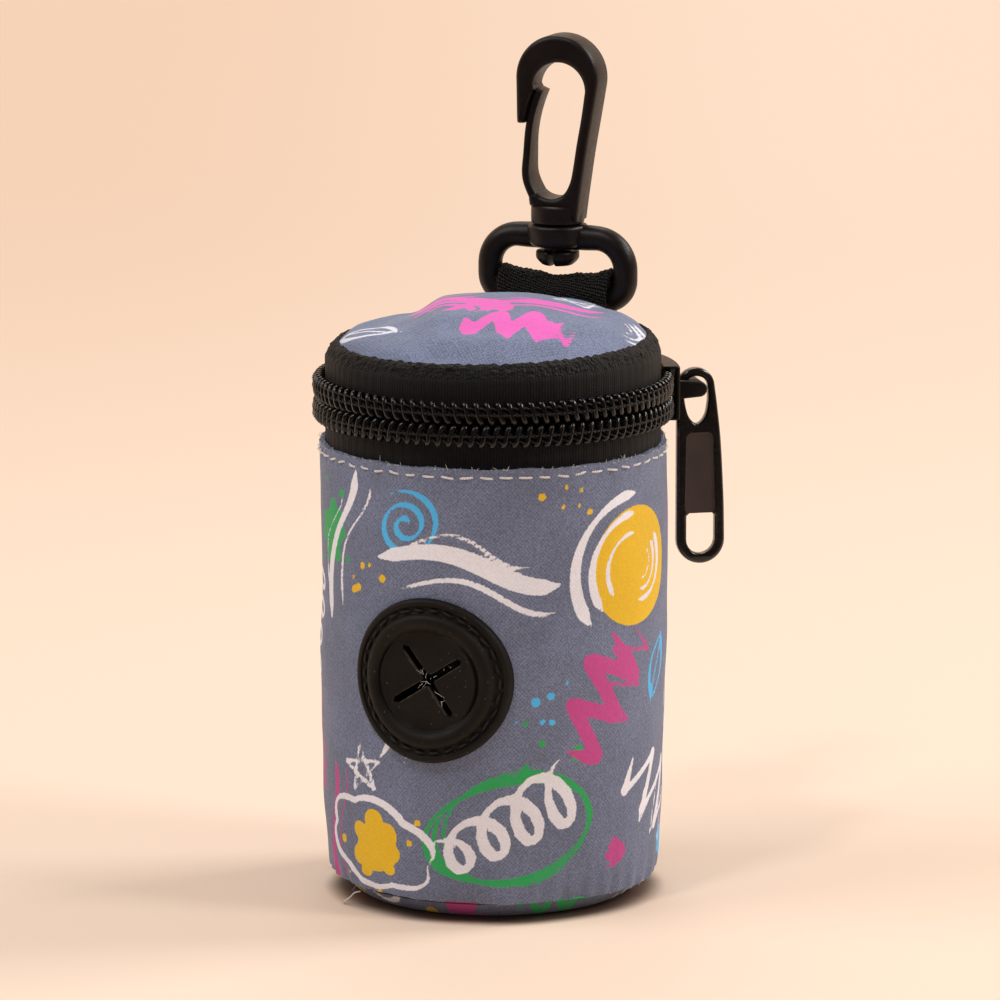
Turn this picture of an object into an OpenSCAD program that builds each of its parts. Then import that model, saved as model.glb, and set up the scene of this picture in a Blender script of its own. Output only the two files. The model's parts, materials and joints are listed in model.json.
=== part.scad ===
// Dog poop bag dispenser: a round zipped pouch that holds one roll of bags, with a slit grommet
// that the bags are pulled through and a swivel hook on a strap at the back of the lid.
// Millimetres, +Z up. The origin is the centre of the flat base, the grommet faces -Y and the zip
// hinge lies at +Y. Angles around the pouch are counted from -Y towards +X.

/* [Pouch] */
// Outer radius of the printed tube
pouch_r = 24.3; // [23.5:0.1:26]
// Height of the printed tube's cut top edge
tube_top = 64.2; // [58:0.1:70]
// Thickness of the printed cloth
shell_t = 0.8; // [0.6:0.05:0.9]
// Thickness of the foam between cloth and lining
foam_t = 0.6; // [0.4:0.05:0.7]
// Thickness of the lining
lining_t = 0.5; // [0.3:0.05:0.6]
// How much the tube narrows from its belly to the base seam
base_taper = 1.1; // [0.6:0.1:1.5]
// Height at which the narrowing starts
taper_h = 40; // [30:1:50]
// How far the base seam pulls the tube's bottom edge in
seam_curl = 0.9; // [0.4:0.1:1.2]
// Height of the base seam
seam_z = 2.2; // [1.6:0.1:2.4]
// Width of the rounded edge between the flat base and its seam
base_round = 2.4; // [2:0.1:3.5]
// Thickness of the stiffening board in the base
board_t = 1.5; // [1:0.1:2]

/* [Zip] */
// Height of the chain's centre line above the tube's top edge
chain_rise = 6.3; // [6:0.1:8]
// Width of the closed chain
chain_w = 6.5; // [5.8:0.1:7]
// Thickness of the coil outside its tape
coil_t = 1.7; // [1.4:0.1:2]
// Thickness of the zip tape
tape_t = 0.6; // [0.4:0.05:0.7]
// Distance from the chain's centre line to the tape's edge
tape_edge = 1.3; // [1.2:0.05:1.6]
// How far the lower tape reaches down inside the tube
tape_tuck = 6; // [4:0.5:9]
// Angle from the middle of the back to each end of the zip
hinge_half = 43; // [40:1:46]
// Thickness of the hinge patch outside the tape
patch_t = 0.7; // [0.5:0.1:0.9]

/* [Slider] */
// Angle of the closed slider from the middle of the front
slider_at = 124; // [121:1:124]
// Length of the slider along the zip
slider_len = 10.4; // [9.8:0.1:10.6]
// Thickness of the slider's two plates
plate_t = 0.7; // [0.6:0.05:0.8]
// Thickness of the slider's side flanges
flange_t = 0.45; // [0.4:0.05:0.6]
// Height of the slider's wedge between the two tapes
wedge_h = 2; // [1.6:0.1:2.1]
// Radius of the bar that the pull hangs on
bar_r = 1.2; // [1:0.05:1.3]
// Length of the bar between its two legs
bar_len = 3.4; // [2.8:0.1:4]
// Thickness of the bar's legs along the zip
leg_t = 1.1; // [0.9:0.1:1.4]

/* [Pull] */
// Length of the pull
pull_len = 28; // [24:0.5:28.5]
// Width of the pull at its lower end
pull_w = 6.9; // [6.4:0.1:7.4]
// Thickness of the pull
pull_t = 1.7; // [1.4:0.1:2]
// Outer radius of the pull's eye
eye_r = 2.7; // [2.6:0.05:2.9]
// Thickness of the rim around the pull's lower slot
pull_rim = 1.4; // [1.2:0.1:1.6]
// Length of the pull's lower slot
slot_len = 5.8; // [4.5:0.1:7]
// Length of the pull's sunk panel
panel_len = 11.6; // [8:0.1:12]
// Depth of the sunk panel on each face
panel_sink = 0.3; // [0.2:0.05:0.4]

/* [Lid] */
// Height of the lid's rim above the chain's centre line
lid_rise = 8.5; // [8.2:0.1:10]
// Height of the domed panel above the lid's rim
dome_h = 5.6; // [4.5:0.1:6]
// Distance of the dome's edge inside the tube's outer face
dome_inset = 2.9; // [2.7:0.1:3.5]

/* [Grommet] */
// Height of the grommet's centre
grommet_z = 34.5; // [20:0.5:34.5]
// Outer radius of the grommet
grommet_r = 11.3; // [10.9:0.1:11.5]
// Thickness of the grommet's flange
flange_h = 1; // [0.8:0.05:1.1]
// Outer radius of the grommet's raised ring
boss_r = 9.2; // [8.9:0.1:9.3]
// Height of the raised ring over the flange
boss_h = 0.6; // [0.4:0.05:0.7]
// Inner radius of the raised ring
mouth_r = 7.1; // [6.9:0.1:7.3]
// Thickness of the slit membrane
membrane_t = 0.8; // [0.6:0.05:0.9]
// Length of each slit
slit_len = 12; // [11:0.1:12.4]
// Width of each slit
slit_w = 1; // [0.8:0.1:1.3]
// Angle of the first slit above the horizontal
slit_a = 33; // [20:1:45]
// Angle of the second slit above the horizontal
slit_b = 126; // [115:1:135]

/* [Thread] */
// Radius of the sewing thread
thread_r = 0.2; // [0.15:0.01:0.22]
// Length of one stitch
stitch_len = 2; // [1.6:0.1:2.1]
// Space between two stitches
stitch_gap = 0.7; // [0.5:0.1:1]
// Distance of the white stitching from the tube's top edge
stitch_drop = 1.1; // [0.8:0.1:2]

/* [Strap and ring] */
// Width of the strap
strap_w = 16.4; // [14:0.1:16.6]
// Thickness of the strap
strap_t = 0.9; // [0.7:0.05:1]
// Outer width of the swivel ring
ring_w = 24.1; // [23:0.1:26]
// Outer height of the swivel ring
ring_h = 12.3; // [12:0.1:12.6]
// Radius of the ring's lower corners, along the middle of the rod
ring_corner = 3; // [2.6:0.1:3.2]
// Thickness of the ring's rod
rod_d = 3.5; // [3.2:0.1:3.6]
// Distance of the ring behind the tube's outer face
ring_back = 0.8; // [0.7:0.1:1.2]
// Height of the ring's lower bar above the lid's rim
ring_rise = 1.4; // [1.4:0.1:2]
// Radius of the swivel hub
hub_r = 4.3; // [4:0.1:4.5]
// Height of the swivel hub
hub_h = 3.1; // [2.9:0.1:3.2]

/* [Hook] */
// Radius of the hook's swivel stem
stem_r = 1.9; // [1.7:0.05:2]
// Radius of the barb that holds the stem
barb_r = 3.1; // [2.9:0.1:3.2]
// Height of the barb
barb_h = 2.1; // [1.8:0.1:2.2]
// Width of the split in the barb
barb_split = 0.8; // [0.6:0.1:1]
// Radius of the hook's collar
collar_r = 3.8; // [3.6:0.1:4]
// Height of the hook's collar
collar_h = 2.5; // [2:0.1:3]
// Height of the hook above its collar
hook_h = 24.6; // [24:0.1:30]
// Thickness of the hook from front to back
hook_t = 5; // [4:0.1:5.4]
// Outer radius of the hook's bow
bow_r = 6.2; // [6:0.1:6.4]
// Thickness of the hook's bow at its top
bow_t = 3.9; // [3.4:0.1:4]
// Radius of the hook's eye at the bow
eye_bow_r = 4; // [3.8:0.1:4.1]
// Length of the nose that the gate closes on
nose_len = 6.4; // [5:0.1:7]
// Thickness of the flexible gate
gate_t = 1.05; // [0.9:0.05:1.2]
// Radius of the gate's root
root_r = 0.85; // [0.8:0.05:0.95]

/* [Roll] */
// Outer radius of the bag roll
roll_r = 15.5; // [12:0.5:18]
// Length of the bag roll
roll_len = 60; // [54:0.5:60]
// Outer radius of the cardboard core
core_r = 7.1; // [6.5:0.1:8]
// Wall of the cardboard core
core_wall = 0.6; // [0.4:0.1:1]

/* [Clearances] */
// Gap between plies of one sewn wall
ply_gap = 0.05; // [0.04:0.01:0.08]
// Gap between parts that move past each other
run_gap = 0.3; // [0.25:0.01:0.32]
// Radial gap of the swivel stem and of the gate's root in their holes
fit_gap = 0.08; // [0.06:0.01:0.1]

/* [Hidden] */
$fn = 96;
far = 200;

cloth_grey = [0.46, 0.48, 0.58];
black = [0.07, 0.065, 0.06];
rubber_black = [0.13, 0.11, 0.095];
thread_white = [0.9, 0.87, 0.85];
foam_grey = [0.75, 0.75, 0.76];
lining_black = [0.1, 0.1, 0.11];

// Radii of the wall's plies, outside to inside, at the straight part of the tube
mid_depth = shell_t + ply_gap;
foam_in = mid_depth + foam_t;
lining_depth = mid_depth + max(foam_t, tape_t) + ply_gap;
tape_out = pouch_r - mid_depth;
tape_in = tape_out - tape_t;
patch_out = tape_out + patch_t;
curl_h = 2;

// Heights along the zip
chain_z = tube_top + chain_rise;
coil_out = tape_out + ply_gap + coil_t;
row_gap = ply_gap;
slider_h = chain_w + 2 * (run_gap / 2 + flange_t);
skirt_z = chain_z + slider_h / 2 + run_gap;
tape_bottom = tube_top - tape_tuck;
zip_end = 180 - hinge_half;
seam_gap = 0.3;

// Slider
plate_in = coil_out + run_gap - ply_gap;
plate_out = plate_in + plate_t;
slider_half = asin(slider_len / 2 / plate_in);
wedge_from = slider_at + 2;
coil_end = wedge_from - 1;
tape_split = slider_at - slider_half - 1;
inner_plate_out = tape_in - run_gap + ply_gap;
inner_plate_in = inner_plate_out - plate_t;
bar_x = plate_out + run_gap - ply_gap + eye_r;
hole_r = bar_r + run_gap;

// Lid
rim_z = chain_z + lid_rise;
dome_r = pouch_r - dome_inset;
dome_ball = (dome_r * dome_r + dome_h * dome_h) / (2 * dome_h);
dome_z = rim_z + dome_h - dome_ball;

// Grommet
fabric_hole_r = mouth_r + 0.4;
groove_r = boss_r + thread_r * 1.2;
groove_w = 1.1;
groove_d = 0.35;
membrane_y = -pouch_r - 0.45;
flap_gap = 0.15;
slit_half = slit_len / 2;
// Each flap's name, and the angles of the slit ends at its two corners
flap_top_a = [slit_a, slit_b];
flap_left_a = [slit_b, slit_a + 180];
flap_bottom_a = [slit_a + 180, slit_b + 180];
flap_right_a = [slit_b + 180, slit_a + 360];

// Base
board_z = shell_t + ply_gap;
base_lining_z = board_z + board_t + ply_gap;
wall_z = base_lining_z + lining_t + ply_gap;
roll_z = wall_z + run_gap;
panel_rise = seam_z - ply_gap;
base_edge_r = wall_r(seam_z);
base_flat_r = base_edge_r - base_round;

// Ring and hook
ring_y = pouch_r + ring_back;
bar_z = rim_z + ring_rise;
rod_r = rod_d / 2;
bend_r = (ring_h - rod_d) / 2;
side_x = ring_w / 2 - rod_r;
bend_x = side_x - bend_r;
corner_x = side_x - ring_corner;
hub_top = bar_z + ring_h - rod_r;
hub_chamfer = 0.8;
barb_gap = 0.25;
barb_top = hub_top - max(hub_h, rod_d) - barb_gap;
collar_z = hub_top + 0.15;
hook_z = collar_z + collar_h;
hook_top = hook_z + hook_h;
bow_x = 0.6;
bow_z = hook_top - bow_r;
eye_x = bow_x + 0.2;
eye_z = hook_top - bow_t - eye_bow_r;
root_x = -3.1;
root_z = hook_z + 2.4;
nose_z = bow_z - nose_len;

// ---- helpers ----

// Radius of the cloth wall's outer face at height z
function wall_r(z) = pouch_r - base_taper * pow(max(0, 1 - z / taper_h), 2)
    - seam_curl * exp((seam_z - z) / curl_h);

// Heights at which the wall's profile has a point between z0 and z1
wall_levels = [for (i = [0:8]) seam_z + (taper_h - seam_z) * pow(i / 8, 1.6)];
function levels(z0, z1) = concat([z0], [for (z = wall_levels) if (z > z0 && z < z1) z], [z1]);
function reversed(list) = [for (i = [len(list) - 1:-1:0]) list[i]];

// Profile of a wall's ply that starts depth below the outer face and is t thick
function ply(depth, t, z0, z1) = let (zs = levels(z0, z1)) concat(
    [for (z = zs) [wall_r(z) - depth, z]],
    [for (z = reversed(zs)) [wall_r(z) - depth - t, z]]);

// Points on an arc from angle a0 to a1
function arc(x, y, r, a0, a1, n = 12) =
    [for (i = [0:n]) let (a = a0 + (a1 - a0) * i / n) [x + r * cos(a), y + r * sin(a)]];

// A profile turned around the pouch's axis from angle a0 to a1
module turned(profile, a0 = -180, a1 = 180) {
    if (a1 - a0 >= 360)
        rotate_extrude() polygon(profile);
    else
        rotate([0, 0, a0 - 90]) rotate_extrude(angle = a1 - a0) polygon(profile);
}

// A stretch of a round wall between two radii, two heights and two angles
module wall(r_in, r_out, z0, z1, a0 = -180, a1 = 180) {
    turned([[r_in, z0], [r_out, z0], [r_out, z1], [r_in, z1]], a0, a1);
}

// Moves its children to the angle a around the pouch, with +X pointing outwards
module at_angle(a) {
    rotate([0, 0, a - 90]) children();
}

// A straight bore through the pouch's front at the grommet
module front_bore(r) {
    translate([0, 0, grommet_z]) rotate([90, 0, 0]) cylinder(r = r, h = far);
}

// A thin shell of the lid's dome between two depths, out to radius r
module dome(depth, t, r) {
    intersection() {
        translate([0, 0, dome_z]) difference() {
            sphere(dome_ball - depth);
            sphere(dome_ball - depth - t);
        }
        translate([0, 0, chain_z]) cylinder(r = r, h = far);
    }
}

// A plate in the XZ plane, centred on the plane y
module upright(y, t) {
    translate([0, y + t / 2, 0]) rotate([90, 0, 0]) linear_extrude(t) children();
}

// ---- pouch ----

module body_shell() {
    color(cloth_grey) difference() {
        turned(ply(0, shell_t, seam_z + ply_gap, tube_top));
        front_bore(fabric_hole_r);
    }
}

module body_foam() {
    color(foam_grey) difference() {
        turned(ply(mid_depth, foam_t, wall_z, tape_bottom - ply_gap));
        front_bore(fabric_hole_r + run_gap);
    }
}

module body_lining() {
    color(lining_black) difference() {
        turned(ply(lining_depth, lining_t, wall_z, chain_z - slider_h / 2 - run_gap * 2));
        front_bore(fabric_hole_r);
    }
}

module base_panel() {
    color(cloth_grey) turned([[0, 0], [base_flat_r, 0],
        [base_flat_r + base_round * 0.6, panel_rise * 0.25], [base_edge_r, panel_rise],
        [base_edge_r - shell_t, panel_rise],
        [base_flat_r + base_round * 0.4, panel_rise * 0.25 + shell_t],
        [base_flat_r - 0.3, shell_t], [0, shell_t]]);
}

module base_board() {
    color(foam_grey) wall(0, base_flat_r - 0.4, board_z, board_z + board_t);
}

module base_lining() {
    rim = wall_r(wall_z) - lining_depth;
    color(lining_black) wall(0, rim, base_lining_z, base_lining_z + lining_t);
}

module rim_topstitch() {
    count = floor(2 * PI * pouch_r / (stitch_len + stitch_gap));
    color(thread_white) for (i = [0:count - 1])
        rotate([0, 0, i * 360 / count])
            translate([0, -pouch_r - ply_gap - thread_r, tube_top - stitch_drop])
                rotate([0, 90, 0]) cylinder(r = thread_r, h = stitch_len, center = true, $fn = 16);
}

// ---- zip ----

module lower_tape() {
    end = zip_end - seam_gap;
    color(black) wall(tape_in, tape_out, tape_bottom, chain_z - tape_edge, -end, end);
}

module lower_coil() {
    color(black) wall(tape_out + ply_gap, coil_out, chain_z - chain_w / 2, chain_z - row_gap,
        -coil_end, coil_end);
}

module upper_coil() {
    color(black) wall(tape_out + ply_gap, coil_out, chain_z + row_gap, chain_z + chain_w / 2,
        -coil_end, coil_end);
}

// The last stretch of the upper tape at each end of the zip stays with the pouch
module upper_tape_ends() {
    color(black) for (side = [-1, 1])
        at_angle(side * (tape_split + zip_end) / 2) {
            half = (zip_end - tape_split) / 2 - seam_gap;
            rotate([0, 0, 90])
                wall(tape_in, tape_out, chain_z + tape_edge, skirt_z - ply_gap, -half, half);
        }
}

module upper_tape() {
    edge = chain_z + tape_edge;
    curl = tape_out - dome_r;
    shoulder = rim_z - curl * 1.17;
    color(black) difference() {
        turned([[tape_out, edge], [tape_out, shoulder],
            [tape_out - curl * 0.15, shoulder + curl * 0.54],
            [tape_out - curl * 0.49, shoulder + curl * 0.98], [dome_r + ply_gap * 3, rim_z],
            [dome_r + ply_gap, rim_z - tape_t],
            [tape_out - curl * 0.66, shoulder + curl * 0.73],
            [tape_in - curl * 0.1, shoulder + curl * 0.39], [tape_in, shoulder],
            [tape_in, edge]]);
        wall(tape_in - 1, tape_out + 1, edge - 1, skirt_z, tape_split, 360 - tape_split);
    }
}

module hinge_patch_lower() {
    color(black) turned([[tape_in, tape_bottom], [tape_out, tape_bottom],
        [tape_out, tube_top + ply_gap], [patch_out, tube_top + ply_gap],
        [patch_out, chain_z - row_gap], [tape_in, chain_z - row_gap]], zip_end, 360 - zip_end);
}

module hinge_patch_upper() {
    color(black) wall(tape_in, patch_out, chain_z + row_gap, skirt_z - ply_gap,
        zip_end, 360 - zip_end);
}

// ---- grommet ----

// The membrane's outline: round outside, and straight between the ends of the slits
module flap_field(grow = 0) {
    polygon([for (a = [slit_a, slit_b, slit_a + 180, slit_b + 180])
        [(slit_half + grow) * cos(a), (slit_half + grow) * sin(a)]]);
}

module grommet() {
    face = pouch_r + ply_gap;
    color(rubber_black) translate([0, 0, grommet_z]) {
        difference() {
            intersection() {
                translate([0, 0, -far / 2]) difference() {
                    cylinder(r = face + flange_h + boss_h, h = far);
                    cylinder(r = face, h = far);
                }
                rotate([90, 0, 0]) cylinder(r = grommet_r, h = far);
            }
            // outside the raised ring only the flange is left
            difference() {
                translate([0, 0, -far / 2]) difference() {
                    cylinder(r = far / 2, h = far);
                    cylinder(r = face + flange_h, h = far);
                }
                rotate([90, 0, 0]) cylinder(r = boss_r, h = far);
            }
            // stitching groove
            intersection() {
                translate([0, 0, -far / 2]) difference() {
                    cylinder(r = far / 2, h = far);
                    cylinder(r = face + flange_h - groove_d, h = far);
                }
                rotate([90, 0, 0]) difference() {
                    cylinder(r = groove_r + groove_w, h = far);
                    cylinder(r = groove_r, h = far);
                }
            }
            rotate([90, 0, 0]) cylinder(r = mouth_r, h = far);
        }
        upright(membrane_y + membrane_t / 2, membrane_t) difference() {
            circle(r = mouth_r + 0.1);
            flap_field();
        }
    }
}

module grommet_stitching() {
    ring_r = groove_r + groove_w / 2;
    count = floor(2 * PI * ring_r / (stitch_len * 0.75 + stitch_gap));
    seat = pouch_r + ply_gap + flange_h - groove_d + thread_r + 0.06;
    color(black) for (i = [0:count - 1]) {
        a = i * 360 / count;
        side = asin(ring_r * cos(a) / seat);
        rotate([0, 0, side]) translate([0, -seat, grommet_z + ring_r * sin(a)])
            rotate([0, -a, 0]) cylinder(r = thread_r, h = stitch_len * 0.75, center = true, $fn = 16);
    }
}

// One rubber flap between two slits, whose ends lie at the two angles
module slit_flap(ends) {
    corner_a = slit_half * [cos(ends[0]), sin(ends[0])];
    corner_b = slit_half * [cos(ends[1]), sin(ends[1])];
    middle = (ends[0] + ends[1]) / 2;
    root = slit_half * cos((ends[1] - ends[0]) / 2);
    color(rubber_black) translate([0, 0, grommet_z])
        upright(membrane_y + membrane_t / 2, membrane_t) difference() {
            polygon([[0, 0], corner_a, corner_b]);
            for (a = ends)
                rotate(a) translate([-far / 4, -slit_w / 2]) square([far / 2, slit_w]);
            rotate(middle) translate([root - flap_gap, -far / 2]) square([far, far]);
        }
}

module slit_flap_top() { slit_flap(flap_top_a); }
module slit_flap_left() { slit_flap(flap_left_a); }
module slit_flap_bottom() { slit_flap(flap_bottom_a); }
module slit_flap_right() { slit_flap(flap_right_a); }

// ---- slider and pull ----

module zip_slider() {
    a0 = slider_at - slider_half;
    a1 = slider_at + slider_half;
    z0 = chain_z - slider_h / 2;
    z1 = chain_z + slider_h / 2;
    flange_in = tape_out + run_gap - ply_gap;
    leg_h = bar_r * 2;
    color(black) {
        wall(plate_in, plate_out, z0, z1, a0, a1);
        wall(inner_plate_in, inner_plate_out, z0, z1, a0, a1);
        wall(flange_in, plate_in + plate_t / 2, z0, z0 + flange_t, a0, a1);
        wall(flange_in, plate_in + plate_t / 2, z1 - flange_t, z1, a0, a1);
        wall(inner_plate_out - plate_t / 2, plate_in + plate_t / 2,
            chain_z - wedge_h / 2, chain_z + wedge_h / 2, wedge_from, a1);
        at_angle(slider_at) translate([0, 0, chain_z]) {
            translate([bar_x, 0, 0]) rotate([90, 0, 0])
                cylinder(r = bar_r, h = bar_len + leg_t, center = true);
            for (side = [-1, 1]) translate([0, side * (bar_len + leg_t) / 2, 0]) {
                translate([plate_in + plate_t / 2, -leg_t / 2, -leg_h / 2])
                    cube([bar_x - plate_in - plate_t / 2, leg_t, leg_h]);
                translate([bar_x, 0, 0]) rotate([90, 0, 0])
                    cylinder(r = bar_r, h = leg_t, center = true);
            }
        }
    }
}

// Outline of the pull in its own plane: X outwards from the pouch, Y up, origin at the bar
module pull_outline() {
    low = -(pull_len - eye_r - pull_w / 2);
    union() {
        circle(r = eye_r);
        polygon([[-eye_r, 0], [-eye_r, low], [-eye_r + pull_w, low], [eye_r, 0]]);
        translate([-eye_r + pull_w / 2, low]) circle(r = pull_w / 2);
    }
}

module pull_slot() {
    inner_w = pull_w - 2 * pull_rim;
    low = -(pull_len - eye_r - pull_w / 2);
    bottom = -(pull_len - eye_r - pull_rim);
    translate([-eye_r + pull_w / 2, 0]) {
        translate([0, low]) circle(r = inner_w / 2);
        translate([-inner_w / 2, low]) square([inner_w, slot_len - (low - bottom)]);
    }
}

module zip_pull() {
    apex = -5.2;
    slot_top = -(pull_len - eye_r - pull_rim) + slot_len;
    panel_w = pull_w - 2 * pull_rim;
    color(black) at_angle(slider_at) translate([bar_x, 0, chain_z]) difference() {
        upright(0, pull_t) pull_outline();
        rotate([90, 0, 0]) cylinder(r = hole_r, h = far, center = true);
        upright(0, far) polygon([[-hole_r, 0], [hole_r, 0], [0.5, apex], [-0.1, apex]]);
        upright(0, far) pull_slot();
        for (side = [-1, 1]) upright(side * (pull_t - panel_sink / 2), pull_t + panel_sink / 2)
            translate([-eye_r + pull_rim, slot_top]) polygon([[0, -0.01],
                [panel_w, -0.01], [panel_w - 0.6, panel_len], [0.4, panel_len]]);
    }
}

// ---- lid ----

module lid_panel() {
    color(cloth_grey) dome(0, shell_t, dome_r);
}

module lid_foam() {
    color(foam_grey) dome(shell_t + ply_gap, foam_t, dome_r - 0.3);
}

module lid_lining() {
    depth = shell_t + foam_t + ply_gap * 2;
    skirt_out = tape_in - ply_gap;
    edge_r = inner_plate_in;
    skirt_top = dome_z + sqrt(pow(dome_ball - depth - lining_t, 2) - pow(edge_r, 2));
    color(lining_black) union() {
        dome(depth, lining_t, edge_r);
        wall(edge_r - lining_t, skirt_out, skirt_z, skirt_top + 0.1);
    }
}

// ---- strap, ring and hook ----

// Centre line of the strap in the YZ plane, counted from the ring's bar
strap_off = rod_r + run_gap + strap_t / 2;
strap_path = concat(
    [[-strap_off, -ring_rise - 0.05], [-strap_off, 0]],
    [for (i = [1:11]) let (a = 180 - i * 15) [strap_off * cos(a), (strap_off + 0.8) * sin(a)]],
    [for (i = [0:5]) let (a = -i * 18) [strap_off * cos(a), strap_off * sin(a)]],
    [[-0.7, -strap_off - 0.15]]);

// Left-hand normal of a path at its point i
function path_normal(p, i) = let (
    a = p[max(i - 1, 0)],
    b = p[min(i + 1, len(p) - 1)],
    d = (b - a) / norm(b - a)) [-d[1], d[0]];

function ribbon(p, t) = concat(
    [for (i = [0:len(p) - 1]) p[i] + path_normal(p, i) * t / 2],
    [for (i = [len(p) - 1:-1:0]) p[i] - path_normal(p, i) * t / 2]);

module strap_loop() {
    color(black) translate([-strap_w / 2, ring_y, bar_z]) rotate([90, 0, 90])
        linear_extrude(strap_w) polygon(ribbon(strap_path, strap_t));
}

// A quarter bend of the ring's rod, towards the given side and up or down
module rod_bend(r, side, up) {
    mirror([side > 0 ? 0 : 1, 0, 0]) mirror([0, 0, up > 0 ? 0 : 1]) rotate([90, 0, 0])
        rotate_extrude(angle = 90) translate([r, 0]) circle(r = rod_r);
}

module swivel_ring() {
    top_z = bar_z + 2 * bend_r;
    color(black) translate([0, ring_y, 0]) difference() {
        union() {
            for (side = [-1, 1]) {
                translate([side * bend_x, 0, top_z - bend_r]) rod_bend(bend_r, side, 1);
                translate([side * corner_x, 0, bar_z + ring_corner])
                    rod_bend(ring_corner, side, -1);
                translate([side * side_x, 0, bar_z + ring_corner])
                    cylinder(r = rod_r, h = bend_r - ring_corner);
            }
            translate([0, 0, bar_z]) rotate([0, 90, 0])
                cylinder(r = rod_r, h = 2 * corner_x, center = true);
            translate([0, 0, top_z]) rotate([0, 90, 0])
                cylinder(r = rod_r, h = 2 * bend_x, center = true);
            translate([0, 0, hub_top - hub_h]) {
                cylinder(r1 = hub_r - hub_chamfer, r2 = hub_r, h = hub_chamfer);
                translate([0, 0, hub_chamfer]) cylinder(r = hub_r, h = hub_h - hub_chamfer);
            }
        }
        translate([0, 0, bar_z + bend_r]) cylinder(r = stem_r + fit_gap, h = far);
    }
}

// Outline of the hook without its eye, in the XZ plane
module hook_outline() {
    polygon(concat(
        [[-3.4, hook_z], [collar_r + 0.2, hook_z], [collar_r + 0.4, hook_z + 1.4]],
        arc(bow_x, bow_z, bow_r, -8, 187, 24),
        [[bow_x - bow_r + 0.35, nose_z + 0.5], [bow_x - bow_r + 0.8, nose_z]],
        [for (i = [0:6]) let (z = nose_z + (eye_z - nose_z) * i / 6) [nose_x(z), z]],
        arc(eye_x, eye_z, eye_bow_r, 178, 0, 20),
        [[2.9, hook_z + 5.4], [2.3, hook_z + 3.4], [1.2, hook_z + 1.9], [0, hook_z + 1.5],
            [-1.2, hook_z + 1.75], [root_x + 0.6, root_z - 0.1], [root_x - 0.7, root_z - 0.2],
            [-3.75, hook_z + 1]]));
}

// The nose's inner face, which the closed gate lies against
function nose_x(z) = gate_x(z) - gate_t / 2 - 0.12;

// Centre line of the gate: it bows outwards above its root and leans in to the nose
function gate_x(z) = let (u = (z - root_z) / (eye_z - root_z))
    root_x - 4.6 * u + 5.5 * u * u;

gate_zs = [for (i = [0:14]) root_z + (eye_z - root_z) * i / 14];

module snap_hook() {
    color(black) translate([0, ring_y, 0]) {
        difference() {
            upright(0, hook_t) hook_outline();
            translate([root_x, 0, root_z]) rotate([90, 0, 0])
                cylinder(r = root_r + fit_gap, h = far, center = true);
        }
        translate([0, 0, collar_z]) cylinder(r = collar_r, h = collar_h);
        translate([0, 0, barb_top - barb_h]) difference() {
            union() {
                cylinder(r1 = barb_r - 0.7, r2 = barb_r, h = barb_h * 0.4);
                translate([0, 0, barb_h * 0.4]) cylinder(r = barb_r, h = barb_h * 0.6);
                cylinder(r = stem_r, h = collar_z - barb_top + barb_h + 0.5);
            }
            translate([-barb_split / 2, -far / 2, -1]) cube([barb_split, far, barb_h + 2]);
        }
    }
}

module hook_gate() {
    line = [for (z = gate_zs) [gate_x(z), z]];
    color(black) translate([0, ring_y, 0]) {
        translate([root_x, 0, root_z]) rotate([90, 0, 0])
            cylinder(r = root_r, h = hook_t, center = true);
        upright(0, hook_t) polygon(ribbon(line, gate_t));
    }
}

// ---- roll ----

module roll_core() {
    color([0.72, 0.6, 0.45])
        wall(core_r - core_wall, core_r, roll_z, roll_z + roll_len);
}

module bag_roll() {
    color([0.1, 0.1, 0.1]) wall(core_r + ply_gap, roll_r, roll_z, roll_z + roll_len);
}

body_shell();
body_foam();
body_lining();
base_panel();
base_board();
base_lining();
rim_topstitch();
lower_tape();
lower_coil();
upper_tape_ends();
hinge_patch_lower();
grommet();
grommet_stitching();
slit_flap_top();
slit_flap_left();
slit_flap_bottom();
slit_flap_right();
zip_slider();
zip_pull();
lid_panel();
lid_foam();
lid_lining();
upper_tape();
upper_coil();
hinge_patch_upper();
strap_loop();
swivel_ring();
snap_hook();
hook_gate();
roll_core();
bag_roll();
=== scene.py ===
"""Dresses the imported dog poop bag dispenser: a zipped printed pouch with a swivel hook."""
import json
import logging
from collections.abc import Callable, Sequence
from dataclasses import dataclass
from enum import Enum
from functools import cache
from math import cos, hypot, pi, radians, sin, tau

import bmesh
import bpy
import numpy as np
from mathutils import Matrix

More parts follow.
